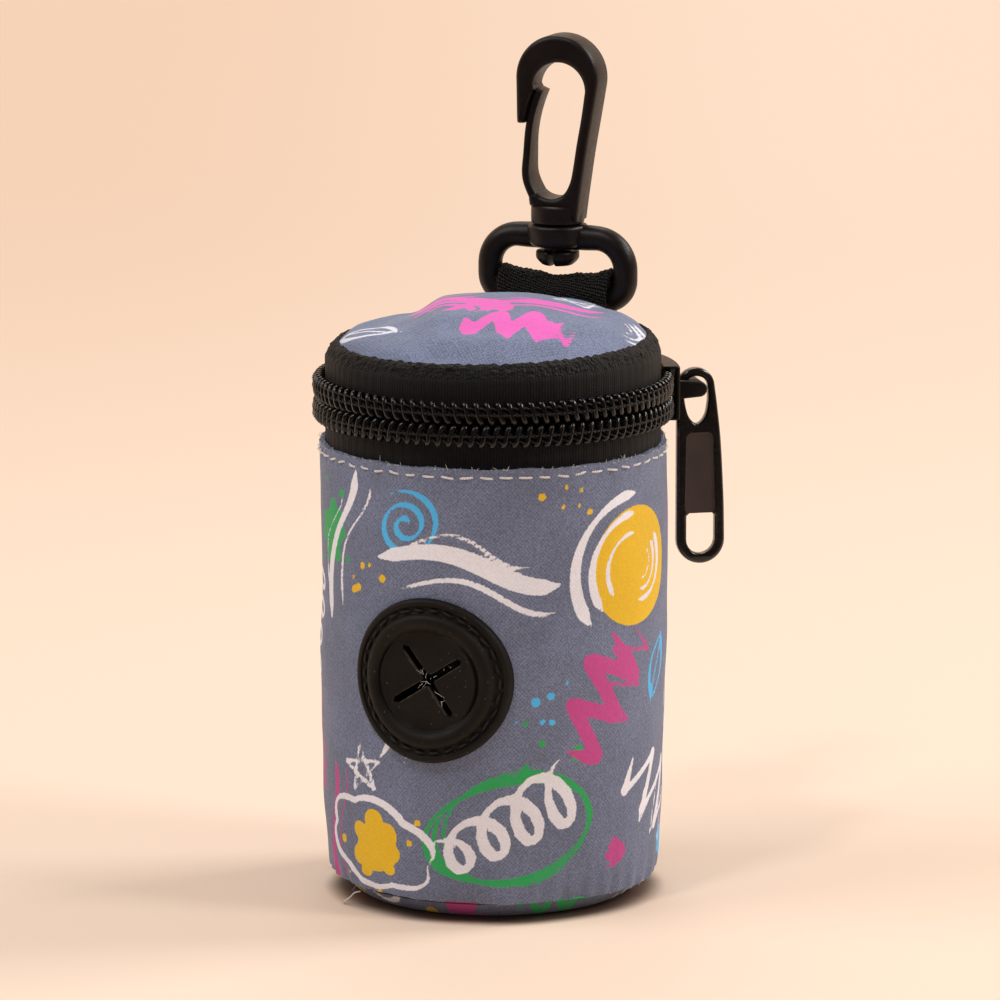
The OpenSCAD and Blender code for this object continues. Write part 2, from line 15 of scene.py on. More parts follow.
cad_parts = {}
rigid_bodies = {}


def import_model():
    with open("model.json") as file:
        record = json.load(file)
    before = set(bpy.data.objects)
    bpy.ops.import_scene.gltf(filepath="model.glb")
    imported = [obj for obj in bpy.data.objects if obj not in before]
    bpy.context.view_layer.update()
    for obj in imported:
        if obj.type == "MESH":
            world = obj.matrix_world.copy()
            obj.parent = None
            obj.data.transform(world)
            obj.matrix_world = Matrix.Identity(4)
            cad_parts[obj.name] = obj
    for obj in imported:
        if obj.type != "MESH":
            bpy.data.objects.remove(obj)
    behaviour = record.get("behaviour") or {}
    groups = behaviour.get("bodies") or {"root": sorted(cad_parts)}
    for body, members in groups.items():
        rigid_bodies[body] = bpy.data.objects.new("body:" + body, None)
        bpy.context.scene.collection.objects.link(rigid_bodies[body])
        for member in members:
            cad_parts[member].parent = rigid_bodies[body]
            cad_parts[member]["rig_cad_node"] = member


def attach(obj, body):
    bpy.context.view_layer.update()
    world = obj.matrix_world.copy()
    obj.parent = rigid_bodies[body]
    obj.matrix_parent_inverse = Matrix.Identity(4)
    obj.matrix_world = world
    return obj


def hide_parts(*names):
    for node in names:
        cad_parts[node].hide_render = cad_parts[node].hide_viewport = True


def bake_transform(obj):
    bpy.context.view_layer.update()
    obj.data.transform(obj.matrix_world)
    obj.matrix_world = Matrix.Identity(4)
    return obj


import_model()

Array = np.ndarray
Colour = tuple[float, float, float, float]
Points = Sequence[Sequence[float]] | Array

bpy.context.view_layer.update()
MM = 0.001
FAR = 9.0  # distance to an ink that is nowhere near, in millimetres
LOG = logging.getLogger("dispenser")


def srgb(red: int, green: int, blue: int) -> Colour:
    """Linear colour of an sRGB triple from 0 to 255."""
    linear = (c / 255 / 12.92 if c <= 10 else ((c / 255 + 0.055) / 1.055) ** 2.4 for c in (red, green, blue))
    return (*linear, 1.0)


def xyz(x: Array | float, y: Array | float, z: Array | float) -> Array:
    """Points from their three coordinates."""
    return np.stack(np.broadcast_arrays(x, y, z), -1).astype(float)


def around(radius: Array | float, angle: Array | float, height: Array | float) -> Array:
    """Points on a cylinder about Z; the angle in radians counts from -Y towards +X."""
    return xyz(radius * np.sin(angle), -radius * np.cos(angle), height)


def polar(radius: Array | float, turn: Array, x: float = 0.0, y: float = 0.0, tall: float = 1.0) -> Array:
    """Points of an arc in a plane round (x, y); tall is a factor on its height."""
    return np.stack([x + radius * np.cos(turn), y + tall * radius * np.sin(turn)], -1)


def arc(start: float, end: float, steps: int) -> Array:
    """Evenly spaced angles in radians, from one in degrees to another."""
    return np.radians(np.linspace(start, end, steps))


def turns(steps: int) -> Array:
    """Evenly spaced angles of a full turn."""
    return np.arange(steps) * tau / steps


def plane(across: Array, up: Array) -> Array:
    """A grid of two coordinates, as (rows, columns, 2)."""
    return np.stack(np.meshgrid(across, up), -1).astype(float)


def waves(x: Array, y: Array, seed: int, length: float, count: int = 7) -> Array:
    """A smooth random height field.

    Args:
        x: First coordinate in millimetres.
        y: Second coordinate in millimetres.
        seed: Picks the field.
        length: Typical wavelength in millimetres.
        count: Number of sine waves that are summed.

    Returns:
        Heights of about -1 to 1.
    """
    rng = np.random.default_rng(seed)
    total = np.zeros(np.broadcast(x, y).shape)
    for _ in range(count):
        turn, phase = rng.uniform(0, tau, 2)
        k = tau / (length * rng.uniform(0.6, 1.7))
        total = total + np.sin(k * (x * cos(turn) + y * sin(turn)) + phase)
    return total / count**0.5 / 1.3


def bump(value: Array, centre: float, width: float) -> Array:
    """A bell curve of height 1 around centre."""
    return np.exp(-(((value - centre) / width) ** 2))


def ease(value: Array, low: float, high: float) -> Array:
    """Smooth step from 0 at low to 1 at high."""
    t = np.clip((value - low) / (high - low), 0, 1)
    return t * t * (3 - 2 * t)


def smooth(points: Points, per: int = 8) -> Array:
    """A Catmull-Rom curve through points.

    Args:
        points: The points that the curve passes, in any number of dimensions.
        per: Steps between two points.

    Returns:
        The curve's points.
    """
    p = np.asarray(points, float)
    p = np.concatenate([2 * p[:1] - p[1:2], p, 2 * p[-1:] - p[-2:-1]])
    t = np.linspace(0, 1, per, endpoint=False)[:, None]
    rows = [0.5 * (2 * b + (c - a) * t + (2 * a - 5 * b + 4 * c - d) * t**2 + (3 * b - a - 3 * c + d) * t**3)
            for a, b, c, d in zip(p[:-3], p[1:-2], p[2:-1], p[3:])]
    return np.concatenate([*rows, p[-2][None]])


def lengths(path: Array) -> Array:
    """Distance along a path at each of its points."""
    return np.concatenate([[0], np.cumsum(np.linalg.norm(np.diff(path, axis=0), axis=1))])


def spread(path: Array, count: int) -> Array:
    """The path resampled to evenly spaced points."""
    along = lengths(path)
    return np.stack([np.interp(np.linspace(0, along[-1], count), along, line) for line in path.T], -1)


def slopes(path: Array) -> Array:
    """Unit direction of a path at each of its points."""
    way = np.gradient(path, axis=0)
    return way / np.linalg.norm(way, axis=1)[:, None]


def normals(path: Array) -> Array:
    """Unit normals of a path in a plane, on its left."""
    return slopes(path)[:, ::-1] * (-1, 1)


def disc(radius: float, cells: int) -> Array:
    """A square grid of points squeezed into a disc, whose cells stay even out to the edge.

    Args:
        radius: The disc's radius.
        cells: Cells along each side of the grid.

    Returns:
        The points, as (cells + 1, cells + 1, 2).
    """
    u, v = np.meshgrid(np.linspace(-1, 1, cells + 1), np.linspace(-1, 1, cells + 1))
    wide = np.abs(u) >= np.abs(v)
    safe_u, safe_v = np.where(u == 0, 1, u), np.where(v == 0, 1, v)
    turn = np.where(wide, pi / 4 * v / safe_u, pi / 2 - pi / 4 * u / safe_v)
    sign = np.where(wide, np.sign(u), np.sign(v))
    return polar(radius * np.maximum(np.abs(u), np.abs(v)) * sign, turn)


class Builder:
    """Collects surfaces in millimetres and turns them into one Blender object."""

    def __init__(self) -> None:
        """Starts empty."""
        self.points: list[Array] = []
        self.quads: list[Array] = []
        self.uvs: list[Array] = []
        self.loose: list[list[int]] = []
        self.count = 0

    def add_points(self, points: Array) -> int:
        """Adds points and returns the index of the first."""
        self.points.append(np.asarray(points, float).reshape(-1, 3))
        self.count += len(self.points[-1])
        return self.count - len(self.points[-1])

    def add_quads(self, quads: Array, uvs: Array) -> None:
        """Adds faces of four corners with their UV coordinates."""
        self.quads.append(quads.reshape(-1, 4))
        self.uvs.append(uvs.reshape(-1, 4, 2))

    def indices(self, points: Array, wrap: bool, loop: bool = False) -> Array:
        """Adds a grid of points and returns its indices, closed on itself where asked."""
        index = self.add_points(points) + np.arange(points[..., 0].size).reshape(points.shape[:2])
        index = np.concatenate([index, index[:, :1]], 1) if wrap else index
        return np.concatenate([index, index[:1]], 0) if loop else index

    @staticmethod
    def corners(grid: Array) -> Array:
        """The four corners of every cell of a grid, on the last axis but one or last."""
        return np.stack([grid[:-1, :-1], grid[:-1, 1:], grid[1:, 1:], grid[1:, :-1]], 2)

    def grid(self, points: Array, uv: Array | None = None, wrap: bool = False, loop: bool = False) -> Array:
        """Adds one surface.

        Args:
            points: Rows of points, as (rows, columns, 3).
            uv: Coordinates in millimetres, one column more than points if it wraps.
            wrap: Whether each row closes on itself.
            loop: Whether the last row joins the first.

        Returns:
            The indices of the grid.
        """
        index = self.indices(points, wrap, loop)
        if uv is None:
            uv = plane(np.arange(index.shape[1]), np.arange(index.shape[0]))
        self.add_quads(self.corners(index), self.corners(uv))
        return index

    def close(self, index: Array) -> None:
        """Closes the two ends of a wrapped grid."""
        self.loose += [index[0, :-1][::-1].tolist(), index[-1, :-1].tolist()]

    def shell(
        self, outer: Array, inner: Array, uv: Array, wrap: bool = False, keep: Array | None = None,
    ) -> None:
        """Adds a closed solid between two surfaces of the same layout.

        Args:
            outer: The outer surface's points, as (rows, columns, 3).
            inner: The inner surface's points.
            uv: Coordinates in millimetres, one column more than outer if it wraps.
            wrap: Whether each row closes on itself.
            keep: Which cells exist; all of them if left out.
        """
        top, under = (self.corners(self.indices(face, wrap)) for face in (outer, inner))
        at = self.corners(uv)
        if keep is None:
            keep = np.ones(top.shape[:2], bool)
        self.add_quads(top[keep], at[keep])
        self.add_quads(under[keep][:, ::-1], at[keep][:, ::-1])
        for a, (down, right) in enumerate([(-1, 0), (0, 1), (1, 0), (0, -1)]):
            near = np.roll(keep, (-down, -right), (0, 1))
            if down:
                near[0 if down < 0 else -1] = False
            if right and not wrap:
                near[:, 0 if right < 0 else -1] = False
            rim, b = keep & ~near, (a + 1) % 4
            wall = np.concatenate([top[rim][:, [b, a]], under[rim][:, [a, b]]], 1)
            self.add_quads(wall, at[rim][:, [b, a, a, b]])

    def tube(
        self, path: Array, radius: float | Array, sides: int = 8, closed: bool = False,
        hint: Sequence[float] = (0, 0, 1),
    ) -> None:
        """Sweeps a round section along a path.

        Args:
            path: Points in millimetres.
            radius: Radius, the same everywhere or one for each point.
            sides: Corners of the section.
            closed: Whether the path closes on itself.
            hint: Direction that the section's first axis starts near.
        """
        tangent = slopes(np.concatenate([path[-1:], path, path[:1]]))[1:-1] if closed else slopes(path)
        first = np.zeros_like(path)
        normal = np.asarray(hint, float)
        for i, direction in enumerate(tangent):
            normal = normal - direction * (normal @ direction)
            normal /= np.linalg.norm(normal)
            first[i] = normal
        turn = turns(sides)[None, :, None]
        size = np.broadcast_to(radius, len(path))[:, None, None]
        section = np.cos(turn) * first[:, None] + np.sin(turn) * np.cross(tangent, first)[:, None]
        along = lengths(np.concatenate([path, path[:1]]) if closed else path)
        uv = plane(np.arange(sides + 1) * float(np.mean(radius)) * tau / sides, along)[..., ::-1]
        index = self.grid(path[:, None] + size * section, uv, wrap=True, loop=closed)
        if not closed:
            self.close(index)

    def lathe(self, profile: Points, y: float, sides: int, loop: bool = False) -> None:
        """Turns a profile about a vertical line.

        Args:
            profile: Points (radius, height), bottom to top on the outside.
            y: The line's place.
            sides: Corners of each ring.
            loop: Whether the last ring joins the first; otherwise both are closed.
        """
        p = np.asarray(profile, float)
        flat = polar(p[:, :1], turns(sides), 0.0, y)
        index = self.grid(xyz(flat[..., 0], flat[..., 1], p[:, 1:]), wrap=True, loop=loop)
        if not loop:
            self.close(index)

    def slab(
        self, place: Callable[[Array, Array, Array], Array], half: tuple[float, float, float],
        edge: float, middle: tuple[int, int],
    ) -> None:
        """Adds a block with rounded edges, bent by a function.

        Args:
            place: Gives the points of three local coordinates.
            half: Half sizes along the three coordinates.
            edge: Radius of the rounded edges.
            middle: Steps along the first two coordinates between the edges.
        """
        round_off = edge * (1 - np.cos(np.linspace(0, pi / 2, 5)))[:-1]
        u, v = np.meshgrid(*(
            np.concatenate([
                round_off - size, np.linspace(-size + edge, size - edge, steps), (size - round_off)[::-1]])
            for size, steps in zip(half, middle)))
        reach = np.hypot(*(np.clip(np.abs(w) - size + edge, 0, None) for w, size in zip((u, v), half)))
        top = half[2] - edge + np.sqrt(np.clip(edge**2 - reach**2, 0, None))
        self.shell(place(u, v, top), place(u, v, -top), np.stack([u, v], -1))

    def mesh(self, mesh: bpy.types.Mesh, place: Callable[[Array], Array]) -> None:
        """Adds a mesh's faces.

        Args:
            mesh: The mesh, in millimetres.
            place: Moves its points.
        """
        points = np.zeros(len(mesh.vertices) * 3)
        mesh.vertices.foreach_get("co", points)
        start = self.add_points(place(points.reshape(-1, 3)))
        self.loose += [[start + i for i in face.vertices] for face in mesh.polygons]

    def build(self, name: str, finish: bpy.types.Material, crease: float = 40.0) -> bpy.types.Object:
        """Makes the object.

        Args:
            name: The object's name.
            finish: Its material.
            crease: Edges sharper than this many degrees stay sharp.

        Returns:
            The new object, linked to the scene.
        """
        quads = np.concatenate(self.quads) if self.quads else np.zeros((0, 4), int)
        mesh = bpy.data.meshes.new(name)
        mesh.from_pydata((np.concatenate(self.points) * MM).tolist(), [], quads.tolist() + self.loose)
        if self.quads:
            flat = np.zeros((len(mesh.loops), 2))
            flat[: len(quads) * 4] = np.concatenate(self.uvs).reshape(-1, 2)
            mesh.uv_layers.new(name="UVMap").data.foreach_set("uv", flat.ravel())
        mesh.polygons.foreach_set("use_smooth", [True] * len(mesh.polygons))
        mesh.set_sharp_from_angle(angle=radians(crease))
        mesh.materials.append(finish)
        return linked(name, mesh)

    def piece(
        self, name: str, finish: "Finish", body: str, *nodes: str, crease: float = 40.0,
    ) -> bpy.types.Object:
        """Makes a piece of the part and reports it.

        Args:
            name: The piece's name.
            finish: Its finish, which also says its material slot.
            body: The body that it rides on; none if left empty, as where it is blended across a joint.
            nodes: The CAD nodes that it stands for.
            crease: Edges sharper than this many degrees stay sharp.

        Returns:
            The piece.
        """
        made = self.build(name, finish.material, crease)
        if body:
            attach(made, body)
        if nodes:
            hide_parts(*nodes)
        LOG.info("%s: %s, on %s", name, finish.slot, body or "two bodies")
        return made


def linked(name: str, data: bpy.types.ID) -> bpy.types.Object:
    """A new object in the scene."""
    made = bpy.data.objects.new(name, data)
    bpy.context.scene.collection.objects.link(made)
    return made


def evaluated(piece: bpy.types.Object) -> bpy.types.Mesh:
    """A copy of an object's mesh with its modifiers applied."""
    return bpy.data.meshes.new_from_object(piece.evaluated_get(bpy.context.evaluated_depsgraph_get()))


def plate(outlines: Sequence[Array], thickness: float, edge: float) -> bpy.types.Mesh:
    """A flat plate with rounded edges, in the XY plane and millimetres.

    Args:
        outlines: Closed outlines, the outer one first and its holes after it.
        thickness: The plate's thickness.
        edge: Radius of its edges.

    Returns:
        A closed mesh.
    """
    curve = bpy.data.curves.new("outline", "CURVE")
    curve.dimensions, curve.fill_mode = "2D", "BOTH"
    curve.extrude, curve.bevel_depth = thickness / 2 - edge, edge
    curve.offset, curve.bevel_resolution = -edge, 3
    for outline in outlines:
        spline = curve.splines.new("POLY")
        spline.points.add(len(outline) - 1)
        flat = np.asarray(outline, float)
        spline.points.foreach_set("co", np.column_stack([flat, 0 * flat[:, 0], 1 + 0 * flat[:, 0]]).ravel())
        spline.use_cyclic_u = True
    holder = bpy.data.objects.new("outline", curve)
    made = bpy.data.meshes.new_from_object(holder)
    bpy.data.objects.remove(holder)
    shape = bmesh.new()
    shape.from_mesh(made)
    bmesh.ops.remove_doubles(shape, verts=shape.verts, dist=1e-4)
    bmesh.ops.recalc_face_normals(shape, faces=shape.faces)
    shape.to_mesh(made)
    shape.free()
    return made


def carve(body: bpy.types.Mesh, cutters: Sequence[bpy.types.Mesh]) -> bpy.types.Mesh:
    """Takes each cutter's volume away from a body.

    Args:
        body: The mesh that is cut.
        cutters: The meshes that are taken away from it.

    Returns:
        A new mesh.
    """
    holders = [linked("carve", mesh) for mesh in (body, *cutters)]
    for cutter in holders[1:]:
        step = holders[0].modifiers.new("cut", "BOOLEAN")
        step.operation, step.solver, step.object = "DIFFERENCE", "EXACT", cutter
    made = evaluated(holders[0])
    for holder in holders:
        bpy.data.objects.remove(holder)
    return made


def rounded(points: Points, radius: float, steps: int = 5) -> Array:
    """Rounds the corners of a closed polygon.

    Args:
        points: The polygon's corners.
        radius: The most that a corner takes from its sides.
        steps: Points of each rounded corner.

    Returns:
        The rounded polygon's points.
    """
    p, t = np.asarray(points, float), np.linspace(0, 1, steps)[:, None]
    rows = []
    for a, b, c in zip(np.roll(p, 1, 0), p, np.roll(p, -1, 0)):
        start, end = (b + (side - b) * min(0.5, radius / np.hypot(*(side - b))) for side in (a, c))
        rows.append((1 - t) ** 2 * start + 2 * t * (1 - t) * b + t**2 * end)
    return np.concatenate(rows)


def upright(y: float) -> Callable[[Array], Array]:
    """Stands a plate's mesh in the XZ plane, centred on the plane y."""
    return lambda p: xyz(p[:, 0], y - p[:, 2], p[:, 1])


def painted(
    piece: bpy.types.Object, finish: "Finish", where: Callable[[bpy.types.MeshPolygon], bool],
) -> None:
    """Gives the faces that a function picks a second finish."""
    piece.data.materials.append(finish.material)
    for face in piece.data.polygons:
        face.material_index = int(where(face))


# ---------------------------------------------------------------- finishes


class Wire:
    """One output in a node tree, with the arithmetic that takes it further."""

    def __init__(self, nodes: "Nodes", socket: bpy.types.NodeSocket) -> None:
        """Holds the output and the tree that it is in."""
        self.nodes, self.socket = nodes, socket

    def math(self, operation: str, other: "Wire | float" = 0.0) -> "Wire":
        """One arithmetic step."""
        return self.nodes.add("Math", {0: self, 1: other}, operation=operation)

    def __add__(self, other: "Wire | float") -> "Wire":
        """The sum."""
        return self.math("ADD", other)

    def __sub__(self, other: "Wire | float") -> "Wire":
        """The difference."""
        return self.math("SUBTRACT", other)

    def __mul__(self, other: "Wire | float") -> "Wire":
        """The product."""
        return self.math("MULTIPLY", other)

    def __pow__(self, other: "Wire | float") -> "Wire":
        """The power."""
        return self.math("POWER", other)

    def __abs__(self) -> "Wire":
        """The size without its sign."""
        return self.math("ABSOLUTE")

    def sine(self, pitch: float, phase: float = 0.0) -> "Wire":
        """A sine wave with the given pitch."""
        return self.nodes.add(
            "Math", {0: self, 1: tau / pitch, 2: phase}, operation="MULTIPLY_ADD").math("SINE")

    def step(self, low: float, high: float, to_low: float = 0.0, to_high: float = 1.0) -> "Wire":
        """Maps low..high to to_low..to_high with smooth ends."""
        inputs = {"Value": self, "From Min": low, "From Max": high, "To Min": to_low, "To Max": to_high}
        return self.nodes.add("MapRange", inputs, interpolation_type="SMOOTHSTEP")

    def scaled(self, *factors: float) -> "Wire":
        """A vector times one factor on each axis."""
        return self.nodes.add("VectorMath", {0: self, 1: factors}, operation="MULTIPLY")

    def facing(self, azimuth: float) -> "Wire":
        """How far a point or direction lies towards an azimuth in degrees, counted from the front."""
        way = (sin(radians(azimuth)), -cos(radians(azimuth)), 0.0)
        return self.nodes.add("VectorMath", {0: self, 1: way}, "Value", operation="DOT_PRODUCT")

    def parts(self) -> list["Wire"]:
        """A vector's three coordinates."""
        split = self.nodes.add("SeparateXYZ", {0: self}).socket.node
        return [Wire(self.nodes, output) for output in split.outputs]

    def grey(self) -> "Wire":
        """The colour that has this value in all its channels."""
        return self.nodes.add("CombineColor", {0: self, 1: self, 2: self})


class Nodes:
    """Builds the node tree of one material or of the world."""

    def __init__(self, name: str, world: bool = False) -> None:
        """Makes an empty material or world with an output.

        Args:
            name: Its name.
            world: Whether it is a world.
        """
        self.owner = (bpy.data.worlds if world else bpy.data.materials).new(name)
        self.owner.use_nodes = True
        self.tree = self.owner.node_tree
        self.tree.nodes.clear()
        self.output = self.tree.nodes.new("ShaderNodeOutput" + ("World" if world else "Material"))

    def add(
        self, kind: str, inputs: dict[str | int, object] | None = None, output: str | int = 0,
        **settings: object,
    ) -> Wire:
        """Adds a node.

        Args:
            kind: The node's type without "ShaderNode".
            inputs: Values or wires for its inputs, by name or number.
            output: Name or number of the output that is wanted.
            settings: Values of its properties.

        Returns:
            The output.
        """
        node = self.tree.nodes.new("ShaderNode" + kind)
        for key, value in settings.items():
            setattr(node, key, value)
        for key, value in (inputs or {}).items():
            if isinstance(value, Wire):
                self.tree.links.new(value.socket, node.inputs[key])
            else:
                node.inputs[key].default_value = value
        return Wire(self, node.outputs[output])

    def mix(self, factor: Wire | float, a: Wire | Colour, b: Wire | Colour, blend: str = "MIX") -> Wire:
        """Mixes two colours."""
        return self.add("Mix", {0: factor, 6: a, 7: b}, 2, data_type="RGBA", blend_type=blend)

    def noise(self, at: Wire, scale: float, detail: float = 2.0, rough: float = 0.5) -> Wire:
        """Noise from 0 to 1; the scale is in features per unit of the vector."""
        return self.add(
            "TexNoise", {"Vector": at, "Scale": scale, "Detail": detail, "Roughness": rough}, "Fac")

    def cells(self, at: Wire, scale: float) -> Wire:
        """Distance to the nearest of scattered points."""
        return self.add("TexVoronoi", {"Scale": scale, "Vector": at}, "Distance")

    def place(self, scale: float = 1000.0) -> Wire:
        """Coordinates of the piece itself, in millimetres unless scaled otherwise."""
        return self.add("TexCoord", output="Object").scaled(scale, scale, scale)

    def cloth(self) -> list[Wire]:
        """The cloth's two coordinates along its threads, in millimetres."""
        return self.add("UVMap", uv_map="UVMap").parts()[:2]

    def relief(self, height: Wire, depth: float, before: Wire | None = None) -> Wire:
        """A bump of the given depth in millimetres, on top of another one."""
        over: dict[str | int, object] = {} if before is None else {"Normal": before}
        return self.add("Bump", {"Height": height, "Strength": 1.0, "Distance": depth * MM, **over})

    def ray(self, kind: str) -> Wire:
        """1 for rays of one kind and 0 for others."""
        return self.add("LightPath", output=f"Is {kind} Ray")

    def seen(self) -> Wire:
        """1 for camera, glossy and transmission rays, which meet the backdrop's own colour, else 0."""
        direct = self.ray("Camera").math("MAXIMUM", self.ray("Glossy"))
        return direct.math("MAXIMUM", self.ray("Transmission"))

    def blended(self, factor: Wire, a: Wire, b: Wire) -> Wire:
        """Goes from one shader to another."""
        return self.add("MixShader", {0: factor, 1: a, 2: b})

    def shader(self, **values: object) -> Wire:
        """A surface shader; underscores in the names stand for spaces."""
        return self.add("BsdfPrincipled", {key.replace("_", " "): value for key, value in values.items()})

    def end(self, surface: Wire) -> bpy.types.Material | bpy.types.World:
        """Joins a shader to the output."""
        self.tree.links.new(surface.socket, self.output.inputs[0])
        return self.owner

    def finish(self, **values: object) -> bpy.types.Material:
        """Makes the surface shader the whole finish."""
        return self.end(self.shader(**values))


class Ink(Enum):
    """Colours of the print, in the order that they lie on each other."""

    YELLOW = srgb(238, 191, 20)
    GREEN = srgb(46, 168, 94)
    PINK = srgb(196, 70, 142)
    BLUE = srgb(80, 184, 242)
    WHITE = srgb(239, 237, 246)

    @property
    def layer(self) -> str:
        """Name of the mesh attribute that holds this ink's distance field."""
        return "ink_" + self.name.lower()


@dataclass(frozen=True)
class PrintedCloth:
    """Plain-woven polyester with a print on it."""

    name: str = "printed_cloth"
    ground: Colour = srgb(127, 137, 166)
    pink: Colour = Ink.PINK.value
    grime: Colour = (0.05, 0.05, 0.07, 1.0)
    pitch: float = 0.58

    def make(self) -> bpy.types.Material:
        """Builds the material: weave, ground colour, ink layers and their dry edges."""
        n = Nodes(self.name)
        at = n.place()
        warp, weft = (thread.sine(self.pitch) for thread in n.cloth())
        weave = warp * weft * n.noise(at, 1.6, 3.0).step(0.3, 0.7, 0.35, 1.25)
        grit = weave * 0.1 + (n.noise(at, 3.4, 3.0, 0.75) - 0.5)
        edge = (n.noise(at, 2.6, 3.0) - 0.5) * 0.3 + (n.noise(at, 9.0) - 0.5) * 0.16
        faded = (*(0.86 * c for c in self.ground[:3]), 1.0)
        colour = n.mix(n.noise(at, 0.16, 4.0).step(0.3, 0.7), self.ground, faded)
        colour = n.mix(grit.step(-0.2, 0.2, 0.0, 0.56), colour, self.grime)
        streaks = n.noise(at.scaled(0.7, 0.7, 3.2), 1.0, 3.0, 0.7)
        for ink in Ink:
            inside = (n.add("Attribute", output="Fac", attribute_name=ink.layer) + edge).step(0.07, -0.07)
            brushed = ink in (Ink.BLUE, Ink.GREEN)
            dry = streaks.step(0.66, 0.74, 1.0, 0.5) if brushed else streaks.step(0.3, 0.8, 1.0, 0.93)
            colour = n.mix(inside * dry, colour, self.pink if ink is Ink.PINK else ink.value)
        dirt = n.noise(at, 0.05, 3.0).step(0.35, 0.75, 1.0, 0.9)
        colour = n.mix(1.0, colour, dirt.grey(), "MULTIPLY")
        colour = n.mix(grit.step(-0.3, 0.3, 0.0, 0.16), colour, self.grime)
        normal = n.relief(weave + (abs(warp) + abs(weft)) * 0.35, 0.011)
        normal = n.relief(n.noise(at, 0.9, 3.0), 0.09, n.relief(n.noise(at, 3.2), 0.03, normal))
        return n.finish(
            Base_Color=colour, Roughness=n.noise(at, 1.2).step(0.2, 0.8, 0.68, 0.84), Normal=normal,
            Specular_IOR_Level=0.3, Sheen_Weight=0.16, Sheen_Roughness=0.4)


@dataclass(frozen=True)
class Ribbed:
    """Woven black tape: zip tape with fine ribs, or coarse webbing."""

    name: str
    colour: Colour
    light: Colour
    along: float
    across: float
    depth: float
    twill: float = 0.0
    knots_from: float | None = None
    sharp: float = 2.0
    specular: float = 0.24

    def make(self) -> bpy.types.Material:
        """Builds the material from ribs across the tape, yarn crossings and loose fibres, with a painted
        highlight on the raised yarns.
        """
        n = Nodes(self.name)
        u, v = n.cloth()
        at = n.place()
        line = u + v * self.twill + (n.noise(at, 0.8) - 0.5) * 0.25
        ribs, picks = abs(line.sine(self.along * 2)), abs(v.sine(self.across * 2))
        offset = abs(v.sine(self.across * 2, pi / 2))
        which = line.sine(self.along * 4).step(-0.2, 0.2)
        height = ribs * 0.62 + n.add("Mix", {0: which, 2: picks, 3: offset}, data_type="FLOAT") * 0.38
        # The raised yarns are painted in the lighter colour: a painted highlight on the rib tops.
        colour = n.mix(height**self.sharp, self.colour, self.light)
        colour = n.mix(n.noise(at, 7.0, 3.0).step(0.58, 0.75, 0.0, 0.5), colour, self.light)
        normal = n.relief(n.noise(at, 6.0, 3.0), self.depth * 0.3, n.relief(height, self.depth))
        if self.knots_from is not None:
            rough_edge = (
                v.step(self.knots_from, self.knots_from + 0.5) * n.cells(at, 1.7).step(0.1, 0.7, 1.0, 0.0))
            normal = n.relief(rough_edge, 0.22, normal)
            # The knots on the edge take the lighter colour too: a painted highlight on the knobs.
            colour = n.mix(rough_edge * 0.6, colour, self.light)
        return n.finish(
            Base_Color=colour, Roughness=height.step(0.0, 1.0, 0.85, 0.62), Normal=normal,
            Specular_IOR_Level=self.specular, Sheen_Weight=0.02, Sheen_Roughness=0.5)


@dataclass(frozen=True)
class Moulded:
    """Moulded plastic, rubber, enamel or nylon: one colour with mottling, scuffs and a fine relief."""

    name: str
    colour: Colour
    worn: Colour
    rough: tuple[float, float]
    grain: float = 3.0
    depth: float = 0.01
    specular: float = 0.5
    coat: float = 0.0
    specks: float = 0.0
    speck_colour: Colour = srgb(150, 142, 134)

    def make(self) -> bpy.types.Material:
        """Builds the material from two scales of noise."""
        n = Nodes(self.name)
        at = n.place()
        fine = n.noise(at, self.grain, 3.0)
        colour = n.mix(n.noise(at, 0.22, 4.0).step(0.3, 0.75), self.colour, self.worn)
        if self.specks:
            colour = n.mix(n.cells(at, 0.9).step(0.11, 0.03, 0.0, self.specks), colour, self.speck_colour)
        scuffs = n.noise(at.scaled(0.25, 1.0, 1.9), 1.0, 4.0, 0.75)
        rough = (scuffs * 0.6 + fine * 0.4).step(0.3, 0.7, *self.rough)
        return n.finish(
            Base_Color=colour, Roughness=rough, Normal=n.relief(fine, self.depth),
            Specular_IOR_Level=self.specular, Coat_Weight=self.coat, Coat_Roughness=0.12)


@dataclass(frozen=True)
class Yarn:
    """Twisted sewing thread, or the fibres of it."""

    name: str
    colour: Colour
    shade: Colour
    sheen: float = 0.3

    def make(self) -> bpy.types.Material:
        """Builds the material from slanted plies."""
        n = Nodes(self.name)
        u, v = n.cloth()
        plies = abs((u + v * 0.8).sine(0.7))
        fluff = n.noise(n.place(), 11.0, 3.0)
        return n.finish(
            Base_Color=n.mix(plies * fluff.step(0.2, 0.6, 0.6, 1.0), self.shade, self.colour),
            Roughness=fluff.step(0.2, 0.8, 0.5, 0.75), Normal=n.relief(plies, 0.05),
            Sheen_Weight=self.sheen, Sheen_Roughness=0.4)


@dataclass(frozen=True)
class Film:
    """Thin plastic bags wound tightly: sheets show as fine rings on the ends."""

    name: str = "bag_film"
    colour: Colour = srgb(30, 31, 34)
    light: Colour = srgb(62, 64, 70)

    def make(self) -> bpy.types.Material:
        """Builds the material from rings about the roll's axis and crinkles."""
        n = Nodes(self.name)
        at = n.place()
        x, y, _ = at.parts()
        rings = ((x**2.0 + y**2.0).math("SQRT") + n.noise(at, 0.35, 3.0) * 1.2).sine(0.42)
        crinkle = n.noise(at.scaled(1.0, 1.0, 0.25), 0.8, 4.0, 0.7)
        return n.finish(
            Base_Color=n.mix((rings + crinkle).step(0.4, 1.6), self.colour, self.light),
            Roughness=crinkle.step(0.3, 0.7, 0.28, 0.5),
            Normal=n.relief(crinkle, 0.25, n.relief(rings, 0.06)))


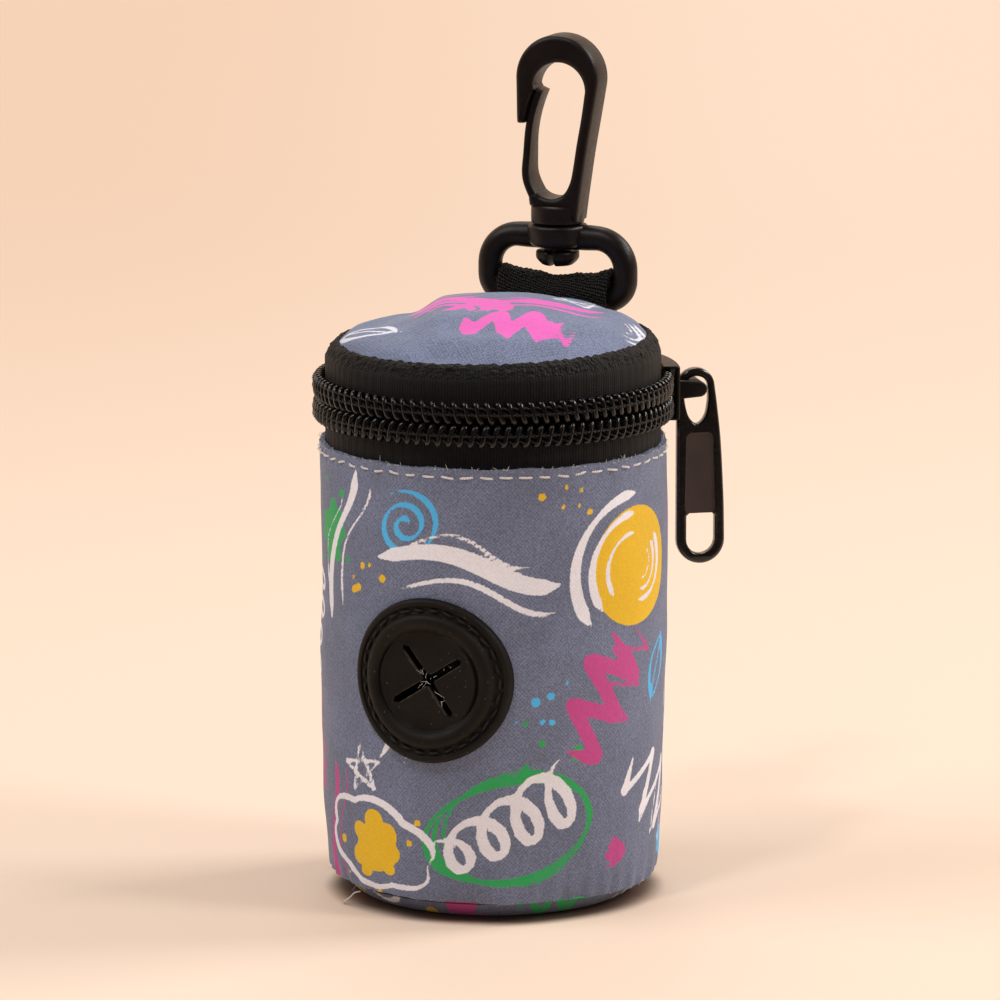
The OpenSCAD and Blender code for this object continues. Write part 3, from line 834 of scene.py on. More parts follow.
@dataclass(frozen=True)
class Flecked:
    """Foam, board or card: matt, with pores or fibres."""

    name: str
    colour: Colour
    spots: Colour
    size: float

    def make(self) -> bpy.types.Material:
        """Builds the material from cells and noise."""
        n = Nodes(self.name)
        at = n.place()
        cells = n.cells(at, self.size)
        colour = n.mix(cells.step(0.1, 0.6), self.spots, self.colour)
        colour = n.mix(n.noise(at, 1.4, 3.0).step(0.55, 0.75, 0.0, 0.4), colour, self.spots)
        return n.finish(
            Base_Color=colour, Roughness=cells.step(0.0, 0.8, 0.95, 0.8), Normal=n.relief(cells, 0.08))


class Finish(Enum):
    """Every finish of the part: its recipe and the material slot that it fills."""

    CLOTH = PrintedCloth(), "printed_cloth"
    # The lid's copy of the cloth, with its ground and pink painted lighter: painted light on the top that
    # faces the lamps.
    LID_CLOTH_LIT = PrintedCloth("printed_cloth_lid_lit", srgb(135, 146, 178), srgb(236, 98, 190)), "printed_cloth"
    # The second colour of each ribbed finish is a painted highlight for its raised yarns.
    TAPE = Ribbed("zip_tape", srgb(9, 8, 8), srgb(21, 19, 18), 0.42, 0.3, 0.07), "zip_tape"
    BAND = Ribbed("zip_tape_edge", srgb(9, 8, 8), srgb(24, 22, 20), 0.42, 0.3, 0.07,
                  knots_from=5.3), "zip_tape"
    WEBBING = Ribbed("webbing", srgb(3, 3, 2), srgb(60, 57, 52), 0.375, 0.375, 0.12, 0.2, sharp=5.0,
                     specular=0.08), "webbing"
    LINING = Ribbed("lining", srgb(24, 24, 26), srgb(46, 46, 50), 0.2, 0.2, 0.02), "lining"
    COIL = Moulded("zip_coil", srgb(10, 9, 8), srgb(17, 15, 14), (0.16, 0.3), 4.0), "zip_coil"
    RUBBER = Moulded("grommet_rubber", srgb(20, 16, 12), srgb(27, 22, 18), (0.5, 0.68), 5.0, 0.02, 0.2,
                     specks=0.3), "grommet_rubber"
    RUBBER_EDGE = Moulded("grommet_rubber_cut", srgb(52, 46, 40), srgb(78, 70, 62), (0.6, 0.8), 6.0, 0.05,
                          0.2), "grommet_rubber"
    ENAMEL = Moulded("black_enamel", srgb(17, 14, 13), srgb(24, 20, 19), (0.18, 0.3), 1.6, 0.012,
                     coat=0.4), "black_enamel"
    CAST = Moulded("black_enamel_cast", srgb(15, 12, 11), srgb(21, 18, 16), (0.36, 0.5), 1.6, 0.012,
                   0.22), "black_enamel"
    # The matt finish of the pull's sunk panel is real; its lighter grey-brown colour is a painted reflection.
    PANEL = Moulded("black_enamel_matt_painted_reflection", srgb(60, 49, 47), srgb(66, 53, 50), (0.42, 0.55), 1.6, 0.012,
                    0.4), "black_enamel"
    PLASTIC = Moulded("hook_plastic", srgb(20, 13, 11), srgb(26, 18, 16), (0.34, 0.48), 2.4, 0.012,
                      0.28), "hook_plastic"
    WHITE_THREAD = Yarn("white_thread", srgb(238, 233, 230), srgb(168, 160, 158)), "white_thread"
    BLACK_THREAD = Yarn("black_thread", srgb(32, 29, 26), srgb(10, 9, 8), 0.05), "black_thread"
    DARK_THREAD = Yarn("dark_thread", srgb(18, 16, 15), srgb(7, 6, 6), 0.02), "black_thread"
    FILM = Film(), "bag_film"
    FOAM = Flecked("foam", srgb(206, 206, 208), srgb(160, 160, 164), 2.2), "foam"
    BOARD = Flecked("board", srgb(150, 132, 108), srgb(120, 104, 84), 1.1), "board"
    CARD = Flecked("core_card", srgb(176, 146, 108), srgb(140, 114, 82), 0.8), "core_card"

    @property
    @cache
    def material(self) -> bpy.types.Material:
        """The material, made when it is first asked for."""
        return self.value[0].make()

    @property
    def slot(self) -> str:
        """The record's material slot."""
        return self.value[1]


def dress(node: str, finish: Finish) -> None:
    """Gives a CAD node that keeps its shape a finish.

    Args:
        node: The node's name.
        finish: Its finish.
    """
    piece = next(o for o in bpy.context.scene.objects if o.get("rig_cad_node") == node)
    for held in piece.material_slots:
        held.material = finish.material
    LOG.info("node %s keeps its shape: %s", node, finish.slot)


# ---------------------------------------------------------------- print


Doodle = Enum("Doodle", "ZIGZAG SPIRAL LOOPS CRESCENT SPLAT DISC HATCH DOTS SWEEP CLOUD LEAF CURLS STAR")


@dataclass(frozen=True)
class Motif:
    """One doodle of the print, placed on the cloth in millimetres."""

    kind: Doodle
    ink: Ink
    x: float
    y: float
    size: float
    turn: float = 0.0
    bold: float = 1.0

    def lines(self) -> list[tuple[Array, Array, float]]:
        """The doodle's strokes in its own unit square, as two coordinates and a half width each."""
        t = np.linspace(0, 1, 49)
        a = t * tau
        match self.kind:
            case Doodle.ZIGZAG:
                swing = np.abs((t * 5.4 + 0.3) % 2 - 1) * 2 - 1
                return [(2.1 * t - 1.05 + 0.12 * swing, 0.62 * swing * (0.7 + 0.4 * t), 0.1),
                        (1.7 * t - 0.3, 0.5 * swing - 0.32, 0.028)]
            case Doodle.SPIRAL:
                return [((0.1 + 0.9 * t) * np.cos(a * 2.3), (0.1 + 0.8 * t) * np.sin(a * 2.3), 0.075)]
            case Doodle.LOOPS:
                return [((1 - 0.07 * k) * np.cos(a * 1.06 + k * 2.1) + 0.05 * k,
                         (0.56 + 0.05 * k) * np.sin(a * 1.06 + k * 2.1), 0.036 - 0.006 * k) for k in range(3)]
            case Doodle.CRESCENT:
                return [(np.cos(a / 2.7 - 1.1) * (1 - 0.26 * k), np.sin(a / 2.7 - 1.1) * (1 - 0.26 * k),
                         0.085 - 0.024 * k) for k in range(3)]
            case Doodle.HATCH:
                return [(2 * t - 1 + 0.14 * k, 0.44 * k - 0.66 + 0.16 * np.sin(3 * t + k), 0.07)
                        for k in range(4)]
            case Doodle.SWEEP:
                bow = 0.3 * np.sin(4.6 * t)
                return [(2.5 * t - 1.25, 0.7 * t**2 - 0.45 + bow, 0.095),
                        (2.1 * t - 0.8, 0.6 * t**2 - 0.72 + bow, 0.03),
                        (1.7 * t - 0.9, 0.55 * t**2 - 0.16 + bow, 0.02)]
            case Doodle.CLOUD:
                puff = 1 + 0.15 * np.abs(np.sin(a * 3))
                return [(puff * np.cos(a), 0.62 * puff * np.sin(a), 0.05)]
            case Doodle.LEAF:
                side = 0.44 * np.sin(a / 2)
                return [(2 * t - 1, side, 0.065), (2 * t - 1, -side, 0.065),
                        (2.3 * t - 1.1, 0.05 * np.sin(a), 0.045)]
            case Doodle.CURLS:
                return [(2.5 * t - 1.3 + 0.32 * np.sin(a * 4),
                         0.5 * (0.6 + 0.5 * t) * np.cos(a * 4) + 0.25 * t, 0.07)]
            case Doodle.STAR:
                turn = np.append(np.arange(5) * 2, 0) * tau / 5 + 1.5
                return [(*(np.interp(t * 5, np.arange(6), f(turn)) for f in (np.cos, np.sin)), 0.07)]
        return []

    def strokes(self) -> list[tuple[Array, Array]]:
        """Paths with half widths, which vary as a broad pen's do and thin out at the ends."""
        rng = np.random.default_rng(int(self.size * 17 + abs(self.x) * 3))
        if self.kind is Doodle.DISC:
            spots = [(0.0, 0.0, 1.0)]
        elif self.kind is Doodle.DOTS:
            spots = [(rng.uniform(-1, 1), rng.uniform(-1, 1), rng.uniform(0.07, 0.18)) for _ in range(6)]
        else:
            spots = [(0.0, 0.0, 0.56)]
            for k in range(16):
                reach, sizes = ((0.42, 0.66), (0.16, 0.3)) if k % 2 else ((0.85, 1.4), (0.04, 0.12))
                a, far = k * 0.47 + rng.uniform(0, 0.3), rng.uniform(*reach)
                spots.append((far * cos(a), far * sin(a), rng.uniform(*sizes)))
        made = []
        for x, y, width in self.lines():
            run = np.stack([x, y], -1)
            way = np.arctan2(*np.gradient(run, axis=0).T[::-1]) + radians(self.turn)
            nib = 0.45 + 0.7 * np.abs(np.sin(way - 0.75))
            taper = np.clip(np.sin(pi * np.linspace(0.02, 0.98, len(x))) * 3.2, 0.25, 1)
            made.append((run, width * nib * taper * self.bold))
        return made or [(np.array([[x, y], [x + 0.02, y]]), np.array([r, r])) for x, y, r in spots]

    def field(self, x: Array, y: Array) -> Array:
        """Signed distance to the motif's ink, in millimetres, negative inside.

        Args:
            x: First cloth coordinates of the points.
            y: Second cloth coordinates of the points.

        Returns:
            One distance for each point; FAR where the motif isn't near.
        """
        found = np.full(x.shape, FAR)
        turn, reach = radians(self.turn), self.size * 1.7 + 2
        near = (np.abs(x - self.x) < reach) & (np.abs(y - self.y) < reach)
        if not near.any():
            return found
        dx, dy = (x[near] - self.x) / self.size, (y[near] - self.y) / self.size
        px, py = dx * cos(turn) + dy * sin(turn), dy * cos(turn) - dx * sin(turn)
        best = np.full(px.shape, FAR)
        for line, width in self.strokes():
            for (ax, ay), (bx, by), wa, wb in zip(line[:-1], line[1:], width[:-1], width[1:]):
                ux, uy = bx - ax, by - ay
                t = np.clip(((px - ax) * ux + (py - ay) * uy) / (ux * ux + uy * uy + 1e-9), 0, 1)
                best = np.minimum(best, np.hypot(px - ax - t * ux, py - ay - t * uy) - wa - t * (wb - wa))
        found[near] = best * self.size
        return found


@dataclass
class Print:
    """A printed cloth's motifs, some of them composed and the rest scattered around them."""

    motifs: list[Motif]
    scatter: tuple[float, float, float, float] = (0, 0, 0, 0)
    pitch: float = 15.0
    seed: int = 3

    def filled(self) -> list[Motif]:
        """The composed motifs and the scattered ones, which fill the rest of the given area."""
        rng = np.random.default_rng(self.seed)
        made = list(self.motifs)
        kinds = [k for k in Doodle if k is not Doodle.DISC]
        inks = [Ink.WHITE, Ink.PINK, Ink.WHITE, Ink.GREEN, Ink.BLUE, Ink.WHITE, Ink.YELLOW]
        x0, x1, y0, y1 = self.scatter
        for row, y in enumerate(np.arange(y0, y1, self.pitch * 0.85)):
            for x in np.arange(x0 + (row % 2) * self.pitch / 2, x1, self.pitch):
                at = (float(x + rng.uniform(-3, 3)), float(y + rng.uniform(-2.5, 2.5)))
                kind, ink = kinds[rng.integers(len(kinds))], inks[rng.integers(len(inks))]
                size, turn = float(rng.uniform(0.36, 0.55) * self.pitch), float(rng.uniform(-60, 60))
                if all(hypot(at[0] - m.x, at[1] - m.y) > self.pitch * 0.45 + m.size * 0.8
                       for m in self.motifs):
                    made.append(Motif(kind, ink, *at, size, turn))
        return made

    def paint(self, piece: bpy.types.Object, x: Array, y: Array) -> None:
        """Stores each ink's distance field on a piece.

        Args:
            piece: The cloth, a shell whose outer and inner face have the same layout.
            x: First cloth coordinate of each vertex of one face.
            y: Second cloth coordinate of each vertex of one face.
        """
        motifs = self.filled()
        for ink in Ink:
            fields = (motif.field(x.ravel(), y.ravel()) for motif in motifs if motif.ink is ink)
            best = np.tile(np.minimum.reduce([np.full(x.size, FAR), *fields]), 2)
            layer = piece.data.attributes.new(ink.layer, "FLOAT", "POINT")
            layer.data.foreach_set("value", best.astype(np.float32))


def print_of(table: str, *scatter: object) -> Print:
    """A print from a table with one motif in each line.

    Args:
        table: The kind, the ink, x, y, the size and, where they are needed, the turn and boldness of each.
        scatter: The area of the scattered motifs, their pitch and their seed.

    Returns:
        The print.
    """
    rows = (line.split() for line in table.strip().splitlines())
    motifs = [Motif(Doodle[kind], Ink[ink], *map(float, values)) for kind, ink, *values in rows]
    return Print(motifs, *scatter)


WALL_PRINT = print_of("""
    DISC YELLOW 32.0 49.0 8.4
    CRESCENT WHITE 31.5 48.6 10.6 150
    CRESCENT WHITE 33.0 49.4 5.4 -30
    LOOPS GREEN 11.5 13.2 12.5 12
    CURLS WHITE 12.0 13.4 8.6 22 1.25
    SPLAT PINK 29.0 8.6 2.6
    ZIGZAG PINK 25.0 31.0 8.4 62 1.15
    LEAF BLUE 38.5 33.5 4.8 70 1.3
    DOTS BLUE 15.5 31.5 4.0
    SPLAT GREEN -19.5 53.0 5.6
    SWEEP WHITE -18.5 52.5 9.2 62 1.1
    SWEEP WHITE 6.0 52.0 10.5 -16 1.2
    SPIRAL BLUE -3.5 56.0 5.4 20
    STAR WHITE -11.5 20.5 3.8 12
    CRESCENT PINK -22.0 25.0 9.6 190 1.2
    SWEEP PINK -21.0 10.0 8.5 78
    ZIGZAG WHITE 38.0 17.0 7.6 -28
    SPLAT YELLOW -9.5 9.4 6.4
    CLOUD WHITE -9.8 9.8 9.4 -12 1.1
    DOTS GREEN 17.5 25.0 4.4
    DOTS YELLOW -10.5 47.6 3.4 40
    SPLAT BLUE 46.5 7.0 4.6
    SWEEP WHITE 47.0 31.0 10.0 72
    LOOPS PINK 52.0 57.0 8.0 30
    DOTS YELLOW 20.0 59.0 3.4 20
    CURLS WHITE -27.0 39.0 6.6 80
    """, (-76, 76, 4, 64), 15.5, 8)
BASE_PRINT = print_of("SPLAT PINK 3 -20.5 3.0\nZIGZAG GREEN 15 -15 5.0 40", (-22, 22, -22, 22), 13, 5)
LID_PRINT = print_of("""
    CRESCENT PINK -4.5 -8.0 8.6 75 1.7
    ZIGZAG PINK 6.5 -9.5 6.4 20 1.7
    SWEEP PINK 4.0 1.0 9.0 24 1.9
    HATCH PINK -8.0 -0.5 5.0 40 1.5
    DOTS PINK 12.5 -9.0 3.0
    LEAF WHITE -15.0 -9.5 5.4 -20
    CRESCENT WHITE 17.5 2.0 4.6 10
    STAR WHITE 9.5 9.5 4.6
    SPIRAL GREEN -9.5 5.5 4.8
    LOOPS BLUE 1.5 14.5 5.5 30
    SPLAT YELLOW -9.0 14.0 2.4
    """)


# ---------------------------------------------------------------- pouch


def stitch(builder: Builder, points: Array, radius: float) -> None:
    """Adds one arched stitch whose ends sink into the cloth, along three points."""
    builder.tube(smooth(points, 4), np.array([0.5, 0.9, 1, 1, 1, 1, 1, 0.9, 0.5]) * radius)


def hairs(builder: Builder, roots: Array, out: Array, length: float, radius: float, seed: int) -> None:
    """Adds loose fibres.

    Args:
        builder: Where they go.
        roots: Where each fibre starts, in millimetres.
        out: The direction that each fibre mostly takes.
        length: Longest fibre.
        radius: Fibre radius.
        seed: Picks their shapes.
    """
    rng = np.random.default_rng(seed)
    t = np.linspace(0, 1, 5)[:, None]
    for root, way in zip(roots, out):
        size = length * rng.uniform(0.35, 1.0)
        bend = rng.normal(0, 0.55, 3)
        path = root + (way + 0.4 * rng.normal(0, 1, 3)) * t * size + bend * t**2 * size
        builder.tube(path, radius * np.array([1, 1, 0.9, 0.7, 0.4]), 4, hint=(0.3, 0.5, 0.8))


@dataclass
class Pouch:
    """The round cloth body with its base, lining and top seam."""

    radius: float = 24.3
    top: float = 64.2
    seam: float = 2.25
    cloth: float = 0.8
    taper: float = 1.1
    taper_height: float = 40.0
    curl: float = 0.45
    flat: float = 17.6
    grommet_z: float = 34.5
    hole: float = 7.9
    lining_hole: float = 8.2
    lining_radius: float = 22.0
    stitch_drop: float = 1.1
    stitches: int = 56
    stitch_half: float = 1.14
    frayed: int = 420

    def wall(self, z: Array | float) -> Array:
        """Radius of the cloth's outer face at height z."""
        pull = self.taper * np.clip(1 - z / self.taper_height, 0, None) ** 2
        return self.radius - pull - self.curl * np.exp((2.2 - z) / 2)

    def hem(self, angle: Array) -> Array:
        """Height of the bottom seam, which lies higher at the front left."""
        wavy = 0.14 * waves(angle * self.radius, 0 * angle, 16, 12)
        return self.seam + 0.6 + 0.32 * np.cos(angle + 0.9) + wavy

    def lumps(self, angle: Array, z: Array) -> Array:
        """How far the padded wall stands out or in, which the grommet's flange holds flat.

        Args:
            angle: Angle from the front, in radians.
            z: Height in millimetres.

        Returns:
            The offsets in millimetres.
        """
        s = angle * self.radius
        soft = 0.26 * waves(s, z * 0.7, 11, 34) + 0.1 * waves(s, z, 12, 13)
        low = np.exp(-(z - self.seam) / 3.2)
        puckers = low * (0.32 * waves(s, 0 * z, 13, 9) + 0.16 * np.sin(s * 1.9 + 2 * waves(s, 0 * z, 14, 30)))
        hem = bump(z, self.top - self.stitch_drop, 1.0) * (-0.1 - 0.05 * np.cos(s * tau / 2.7))
        rim = ease(z, self.top - 1.2, self.top) * 0.12 * waves(s, 0 * z, 15, 8)
        held = ease(np.hypot(s, z - self.grommet_z), 11.8, 17.0)
        return (soft + puckers) * held * (1 - 0.75 * ease(z, 57, 63)) + (hem + rim) * held

    def tube(self) -> None:
        """The printed wall with its hole behind the grommet."""
        columns, rows = 312, 124
        angle, z = np.meshgrid(turns(columns) - pi, np.linspace(self.seam, self.top, rows))
        edge = ease(z, self.top - 0.8, self.top)
        drop = (1 - ease(z, self.seam, self.seam + 6)) * (self.hem(angle) - self.seam)
        height = z + edge * 0.14 * waves(angle * self.radius, 0 * z, 17, 6) + drop
        out = self.wall(z) + self.lumps(angle, z) - 0.28 * bump(np.abs(angle), pi, 0.45 / self.radius)
        middle_s, middle_z = (angle + pi / columns) * self.radius, z + 0.24
        keep = (np.hypot(middle_s, middle_z - self.grommet_z) > self.hole)[:-1]
        uv = plane((np.arange(columns + 1) * tau / columns - pi) * self.radius, z[:, 0])
        made = Builder()
        made.shell(around(out, angle, height), around(out - self.cloth, angle, height), uv, True, keep)
        piece = made.piece("pouch_cloth", Finish.CLOTH, "pouch", "body_shell", crease=60)
        WALL_PRINT.paint(piece, angle * self.radius, z)

    def base(self) -> None:
        """The printed base with its edge turned up into the bottom seam."""
        x, y = np.moveaxis(disc(1.0, 92), -1, 0)
        reach, angle = np.hypot(x, y), np.arctan2(x, -y)
        s = angle * self.radius
        edge_r = self.wall(2.2)
        up = ease(reach, self.flat / edge_r, 1.0)
        wavy = 0.3 * waves(s, 0 * s, 21, 14) + 0.16 * waves(s, 0 * s, 22, 6)
        height = (self.hem(angle) - 0.02) * up**1.35 + 0.04 + 0.2 * wavy * up * (1 - up)
        height += 0.1 * (1 - ease(reach, 0.3, 0.8)) * (1 + waves(x * 20, y * 20, 23, 18))
        radius = reach * (edge_r - 0.05) + up * 0.12 * waves(s, 0 * s, 24, 8) - 0.3 * up**4
        outer = around(radius, angle, height)
        inner = around(radius * (1 - 0.03 * up), angle, height + self.cloth * (1 - 0.35 * up))
        made = Builder()
        made.shell(inner, outer, outer[..., :2])
        piece = made.piece("base_cloth", Finish.CLOTH, "pouch", "base_panel", crease=60)
        BASE_PRINT.paint(piece, outer[..., 0], outer[..., 1])

    def lining(self) -> None:
        """The dark lining of wall and floor, with soft wrinkles and a turned hem."""
        columns, rows = 180, 70
        angle, z = np.meshgrid(turns(columns) - pi, np.linspace(3.0, 66.0, rows))
        s = angle * self.lining_radius
        wrinkles = 0.3 * waves(s, z * 0.35, 31, 12) + 0.18 * waves(s, z, 32, 7)
        calm = ease(z, 3.0, 8.0) * (1 - ease(z, 58, 65))
        out = self.wall(z) - 1.52 - calm * np.clip(0.25 + wrinkles, 0, 0.7)
        thick = 0.45 + 0.12 * bump(z, 65.2, 0.9)
        uv = plane(np.linspace(-pi, pi, columns + 1) * self.lining_radius, z[:, 0])
        keep = (np.hypot(s + 0.38, z + 0.44 - self.grommet_z) > self.lining_hole)[:-1]
        made = Builder()
        made.shell(around(out, angle, z), around(out - thick, angle, z), uv, True, keep)
        made.piece("pouch_lining", Finish.LINING, "pouch", "body_lining", crease=60)
        spots = disc(self.wall(2.95) - 1.56, 40)
        x, y = np.moveaxis(spots, -1, 0)
        lift = 0.05 + 0.06 * (1 + waves(x, y, 33, 12))
        floor = Builder()
        floor.shell(xyz(x, y, 2.41 + (0.33 + lift)), xyz(x, y, 2.41), spots)
        floor.piece("base_lining_cloth", Finish.LINING, "pouch", "base_lining", crease=60)

    def top_seam(self) -> None:
        """White topstitching below the cut edge, and the threads that fray out of it."""
        z = self.top - self.stitch_drop
        line, fray = Builder(), Builder()
        rng = np.random.default_rng(41)
        for k in range(self.stitches):
            a = k * tau / self.stitches + rng.normal(0, 0.0012)
            half = self.stitch_half / self.radius * rng.uniform(0.88, 1.05)
            tilt, sunk = rng.normal(0, 0.13), rng.uniform(0, 0.07)
            turn = a + np.array([-half, 0.0, half])
            out = self.radius + self.lumps(turn, np.full(3, z)) + np.array([-0.18, 0.2, -0.18]) - sunk
            stitch(line, around(out, turn, z + rng.normal(0, 0.06) + np.array([-tilt, 0.0, tilt])), 0.165)
        line.piece("rim_topstitch_thread", Finish.WHITE_THREAD, "pouch", "rim_topstitch")
        turn = rng.uniform(-pi, pi, self.frayed)
        roots = around(self.radius - rng.uniform(0.05, 0.6, self.frayed), turn, self.top - 0.08)
        hairs(fray, roots, around(0.45, turn, 0.5), 0.5, 0.045, 42)
        bottom = rng.uniform(-pi, pi, 60)
        hairs(fray, around(22.5, bottom, self.hem(bottom)), around(0.7, bottom, -0.25), 0.8, 0.03, 43)
        loose = around(
            22.5 + np.array([-0.4, 0.3, 0.9, 1.3, 1.0]), -0.62 + np.array([0, -0.02, -0.03, -0.06, -0.1]),
            np.array([2.0, 1.8, 1.2, 0.6, 0.25]))
        fray.tube(smooth(loose, 5), 0.1, 6)
        fray.piece("frayed_fibres", Finish.WHITE_THREAD, "pouch")

    def build(self) -> None:
        """Builds the whole pouch."""
        for step in (self.tube, self.base, self.lining, self.top_seam):
            step()
        dress("body_foam", Finish.FOAM)
        dress("base_board", Finish.BOARD)


# ---------------------------------------------------------------- zip


def sag(angle: Array) -> Array:
    """How far the lid's seam lies above its height at rest, by angle; it dips at the front left."""
    return -0.55 * (1 + np.cos(angle + 0.9))


@dataclass
class Zip:
    """Both tapes, both coils and the hinge of the round zip."""

    chain: float = 70.5
    tape_out: float = 23.45
    tape: float = 0.6
    coil_in: float = 23.5
    coil_thick: float = 1.7
    width: float = 6.5
    coil_end: float = 125.0
    zip_end: float = 137.25
    pitch: float = 1.5
    wire: float = 0.4
    tuck: float = 58.2
    lid_skirt: float = 74.68

    def woven(self, angle: Array, z: Array, seed: int) -> Array:
        """How far a tape's cloth stands out or in, with its fine folds."""
        s = angle * self.tape_out
        return 0.05 * waves(s, z, seed, 9) + 0.035 * np.sin(s * tau / 1.7 + waves(s, z, seed + 1, 20))

    def band(
        self, profile: Points, start: float, end: float, seed: int,
        keep: Callable[[Array, Array], Array] | None = None,
    ) -> Builder:
        """A ribbed tape bent round the pouch.

        Args:
            profile: Outer face as points of radius and height, with thickness as the third value.
            start: First angle in degrees.
            end: Last angle in degrees.
            seed: Picks its unevenness.
            keep: Says for angles in degrees and heights which cells exist.

        Returns:
            A builder that holds it.
        """
        profile = np.asarray(profile, float)
        whole = end - start >= 360
        count = int((end - start) / 0.9)
        ends = np.radians(start + (end - start) * np.arange(count + 1) / count)
        line = spread(profile, max(12, int(lengths(profile[:, :2])[-1] / 0.45)))
        angle, r = np.meshgrid(ends[:-1] if whole else ends, line[:, 0])
        z, thick = (np.broadcast_to(line[:, k, None], r.shape) for k in (1, 2))
        s = angle * self.tape_out
        knob = ease(z, 77.0, 78.2)
        r = r + self.woven(angle, z, seed) + knob * 0.17 * waves(s, z * 1.6, seed + 3, 1.15)
        z = z + sag(angle) * ease(z, 75.4, 78.0) + knob * 0.12 * waves(s, z, seed + 4, 1.3)
        slope = slopes(line[:, :2])
        inner = around(r - thick * slope[:, 1:], angle, z + thick * slope[:, :1])
        mask = None
        if keep is not None:
            mask = keep(*np.meshgrid(
                np.degrees((ends[:-1] + ends[1:]) / 2), (line[:-1, 1] + line[1:, 1]) / 2))
        made = Builder()
        uv = plane(ends * self.tape_out, lengths(line[:, :2]))
        made.shell(around(r, angle, z), inner, uv, whole, mask)
        return made

    def coil(self, row: str, body: str, side: int) -> None:
        """One row of the nylon coil with the threads that sew it down.

        Args:
            row: Start of the row's names.
            body: The body that it rides on.
            side: -1 for the lower row and 1 for the upper one.
        """
        wire, middle, deep = self.wire, self.coil_in + 0.9, self.coil_thick / 2
        rounds = int(2 * radians(self.coil_end) * middle / self.pitch)
        t = np.arange(rounds * 18) / 18
        phase = t * tau + (pi if side > 0 else 0)
        head, lift = np.cos(phase), -np.sin(phase)
        r = self.coil_in + deep + (deep - wire + 0.04) * np.sign(lift) * np.abs(lift) ** 0.55
        half = self.width / 4
        z = self.chain + side * (half + 0.02 - (half - wire + 0.04) * np.sign(head) * np.abs(head) ** 0.75)
        bulge = 1 + 0.14 * ease(head, 0.6, 1.0) - 0.1 * ease(-head, 0.6, 1.0)
        coil, sewn = Builder(), Builder()
        turn = radians(-self.coil_end) + (t + 0.06 * head) * self.pitch / middle
        coil.tube(around(r, turn, z), wire * bulge)
        coil.piece(row + "_coil_wire", Finish.COIL, body, row + "_coil", crease=60)
        along = arc(-self.coil_end, self.coil_end, rounds * 8)
        beat = along * middle / self.pitch * tau
        for height, ply in ((1.35, 0.0), (1.62, pi), (2.35, 0.0)):
            out = self.coil_in + self.coil_thick - 0.2 + 0.2 * np.cos(beat + ply)
            sewn.tube(around(out, along, self.chain + side * (height + 0.16 * np.cos(beat))), 0.12, 5)
        sewn.piece(row + "_coil_wire_thread", Finish.DARK_THREAD, body)

    def tape_ends(self) -> None:
        """The last stretch of the upper tape at both ends of the zip, which stays with the pouch."""
        ends = Builder()
        for side, low in ((-1, -1.34), (1, 1.32)):
            turn = side * arc(self.coil_end + 0.6, self.zip_end, 30)
            angle, z = np.meshgrid(turn[::side], np.linspace(self.chain + low, self.chain + 4.08, 13))
            r = self.tape_out + self.woven(angle, z, 53)
            uv = np.stack([angle * self.tape_out, z], -1)
            ends.shell(around(r, angle, z), around(r - self.tape, angle, z), uv)
        ends.piece("upper_tape_ends_cloth", Finish.TAPE, "pouch", "upper_tape_ends", crease=50)

    def build(self) -> None:
        """Builds the tapes, coils, hinge patch and their stitching."""
        out, thick, chain = self.tape_out, self.tape, self.chain
        flat = [(out, self.tuck, thick), (out, chain - 1.32, thick)]
        low = self.band(flat, -self.zip_end, self.zip_end, 51)
        low.piece("lower_tape_cloth", Finish.TAPE, "pouch", "lower_tape", crease=50)
        curl = [(out, chain + 1.32, thick), (out, 75.6, thick), (23.4, 76.7, thick), (23.1, 77.6, 0.62),
                (22.7, 78.4, 0.7), (22.15, 79.0, 0.74), (21.62, 79.22, 0.66), (21.25, 78.95, 0.5)]
        high = self.band(smooth(curl, 5), -180, 180, 53,
                         lambda a, z: (z > self.lid_skirt) | (np.abs(a) < self.coil_end + 0.2))
        high.piece("upper_tape_cloth", Finish.BAND, "lid", "upper_tape", crease=50)
        self.tape_ends()
        self.coil("lower", "pouch", -1)
        self.coil("upper", "lid", 1)
        folded = smooth([
            (out, self.tuck, thick), (out, 63.9, thick), (out + 0.3, 64.5, 0.9), (out + 0.66, 65.2, 1.25),
            (out + 0.7, chain, 1.3), (out + 0.66, 74.1, 1.25), (out + 0.42, 74.95, 1.0)], 4)
        patch = self.band(folded, 137.3, 222.7, 57).piece(
            "hinge_patch", Finish.TAPE, "", "hinge_patch_lower", "hinge_patch_upper", crease=50)
        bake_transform(patch)
        seam = Builder()
        arched, half = np.array([-0.1, 0.2, -0.1]), np.array([-0.036, 0, 0.036])
        for a in arc(142.5, 217.5, 15):
            stitch(seam, around(out + 0.7 + arched, a + half, 66.3), 0.14)
        seam.piece("hinge_patch_stitches", Finish.BLACK_THREAD, "pouch")


@dataclass
class OnBar:
    """The bar in front of the zip that the pull hangs on."""

    at: float = 124.0
    chain: float = 70.5
    bar: float = 29.1

    def stood(self, shift: float = 0.0) -> Callable[[Array], Array]:
        """Stands a plate (outwards, up, along the zip) on the bar, with its middle moved along the zip."""
        turn = radians(self.at)
        axes = np.stack([around(1, turn, 0), (0, 0, 1), -around(1, turn + pi / 2, 0)])
        return lambda p: around(self.bar, turn, self.chain) + (p - (0, 0, shift)) @ axes


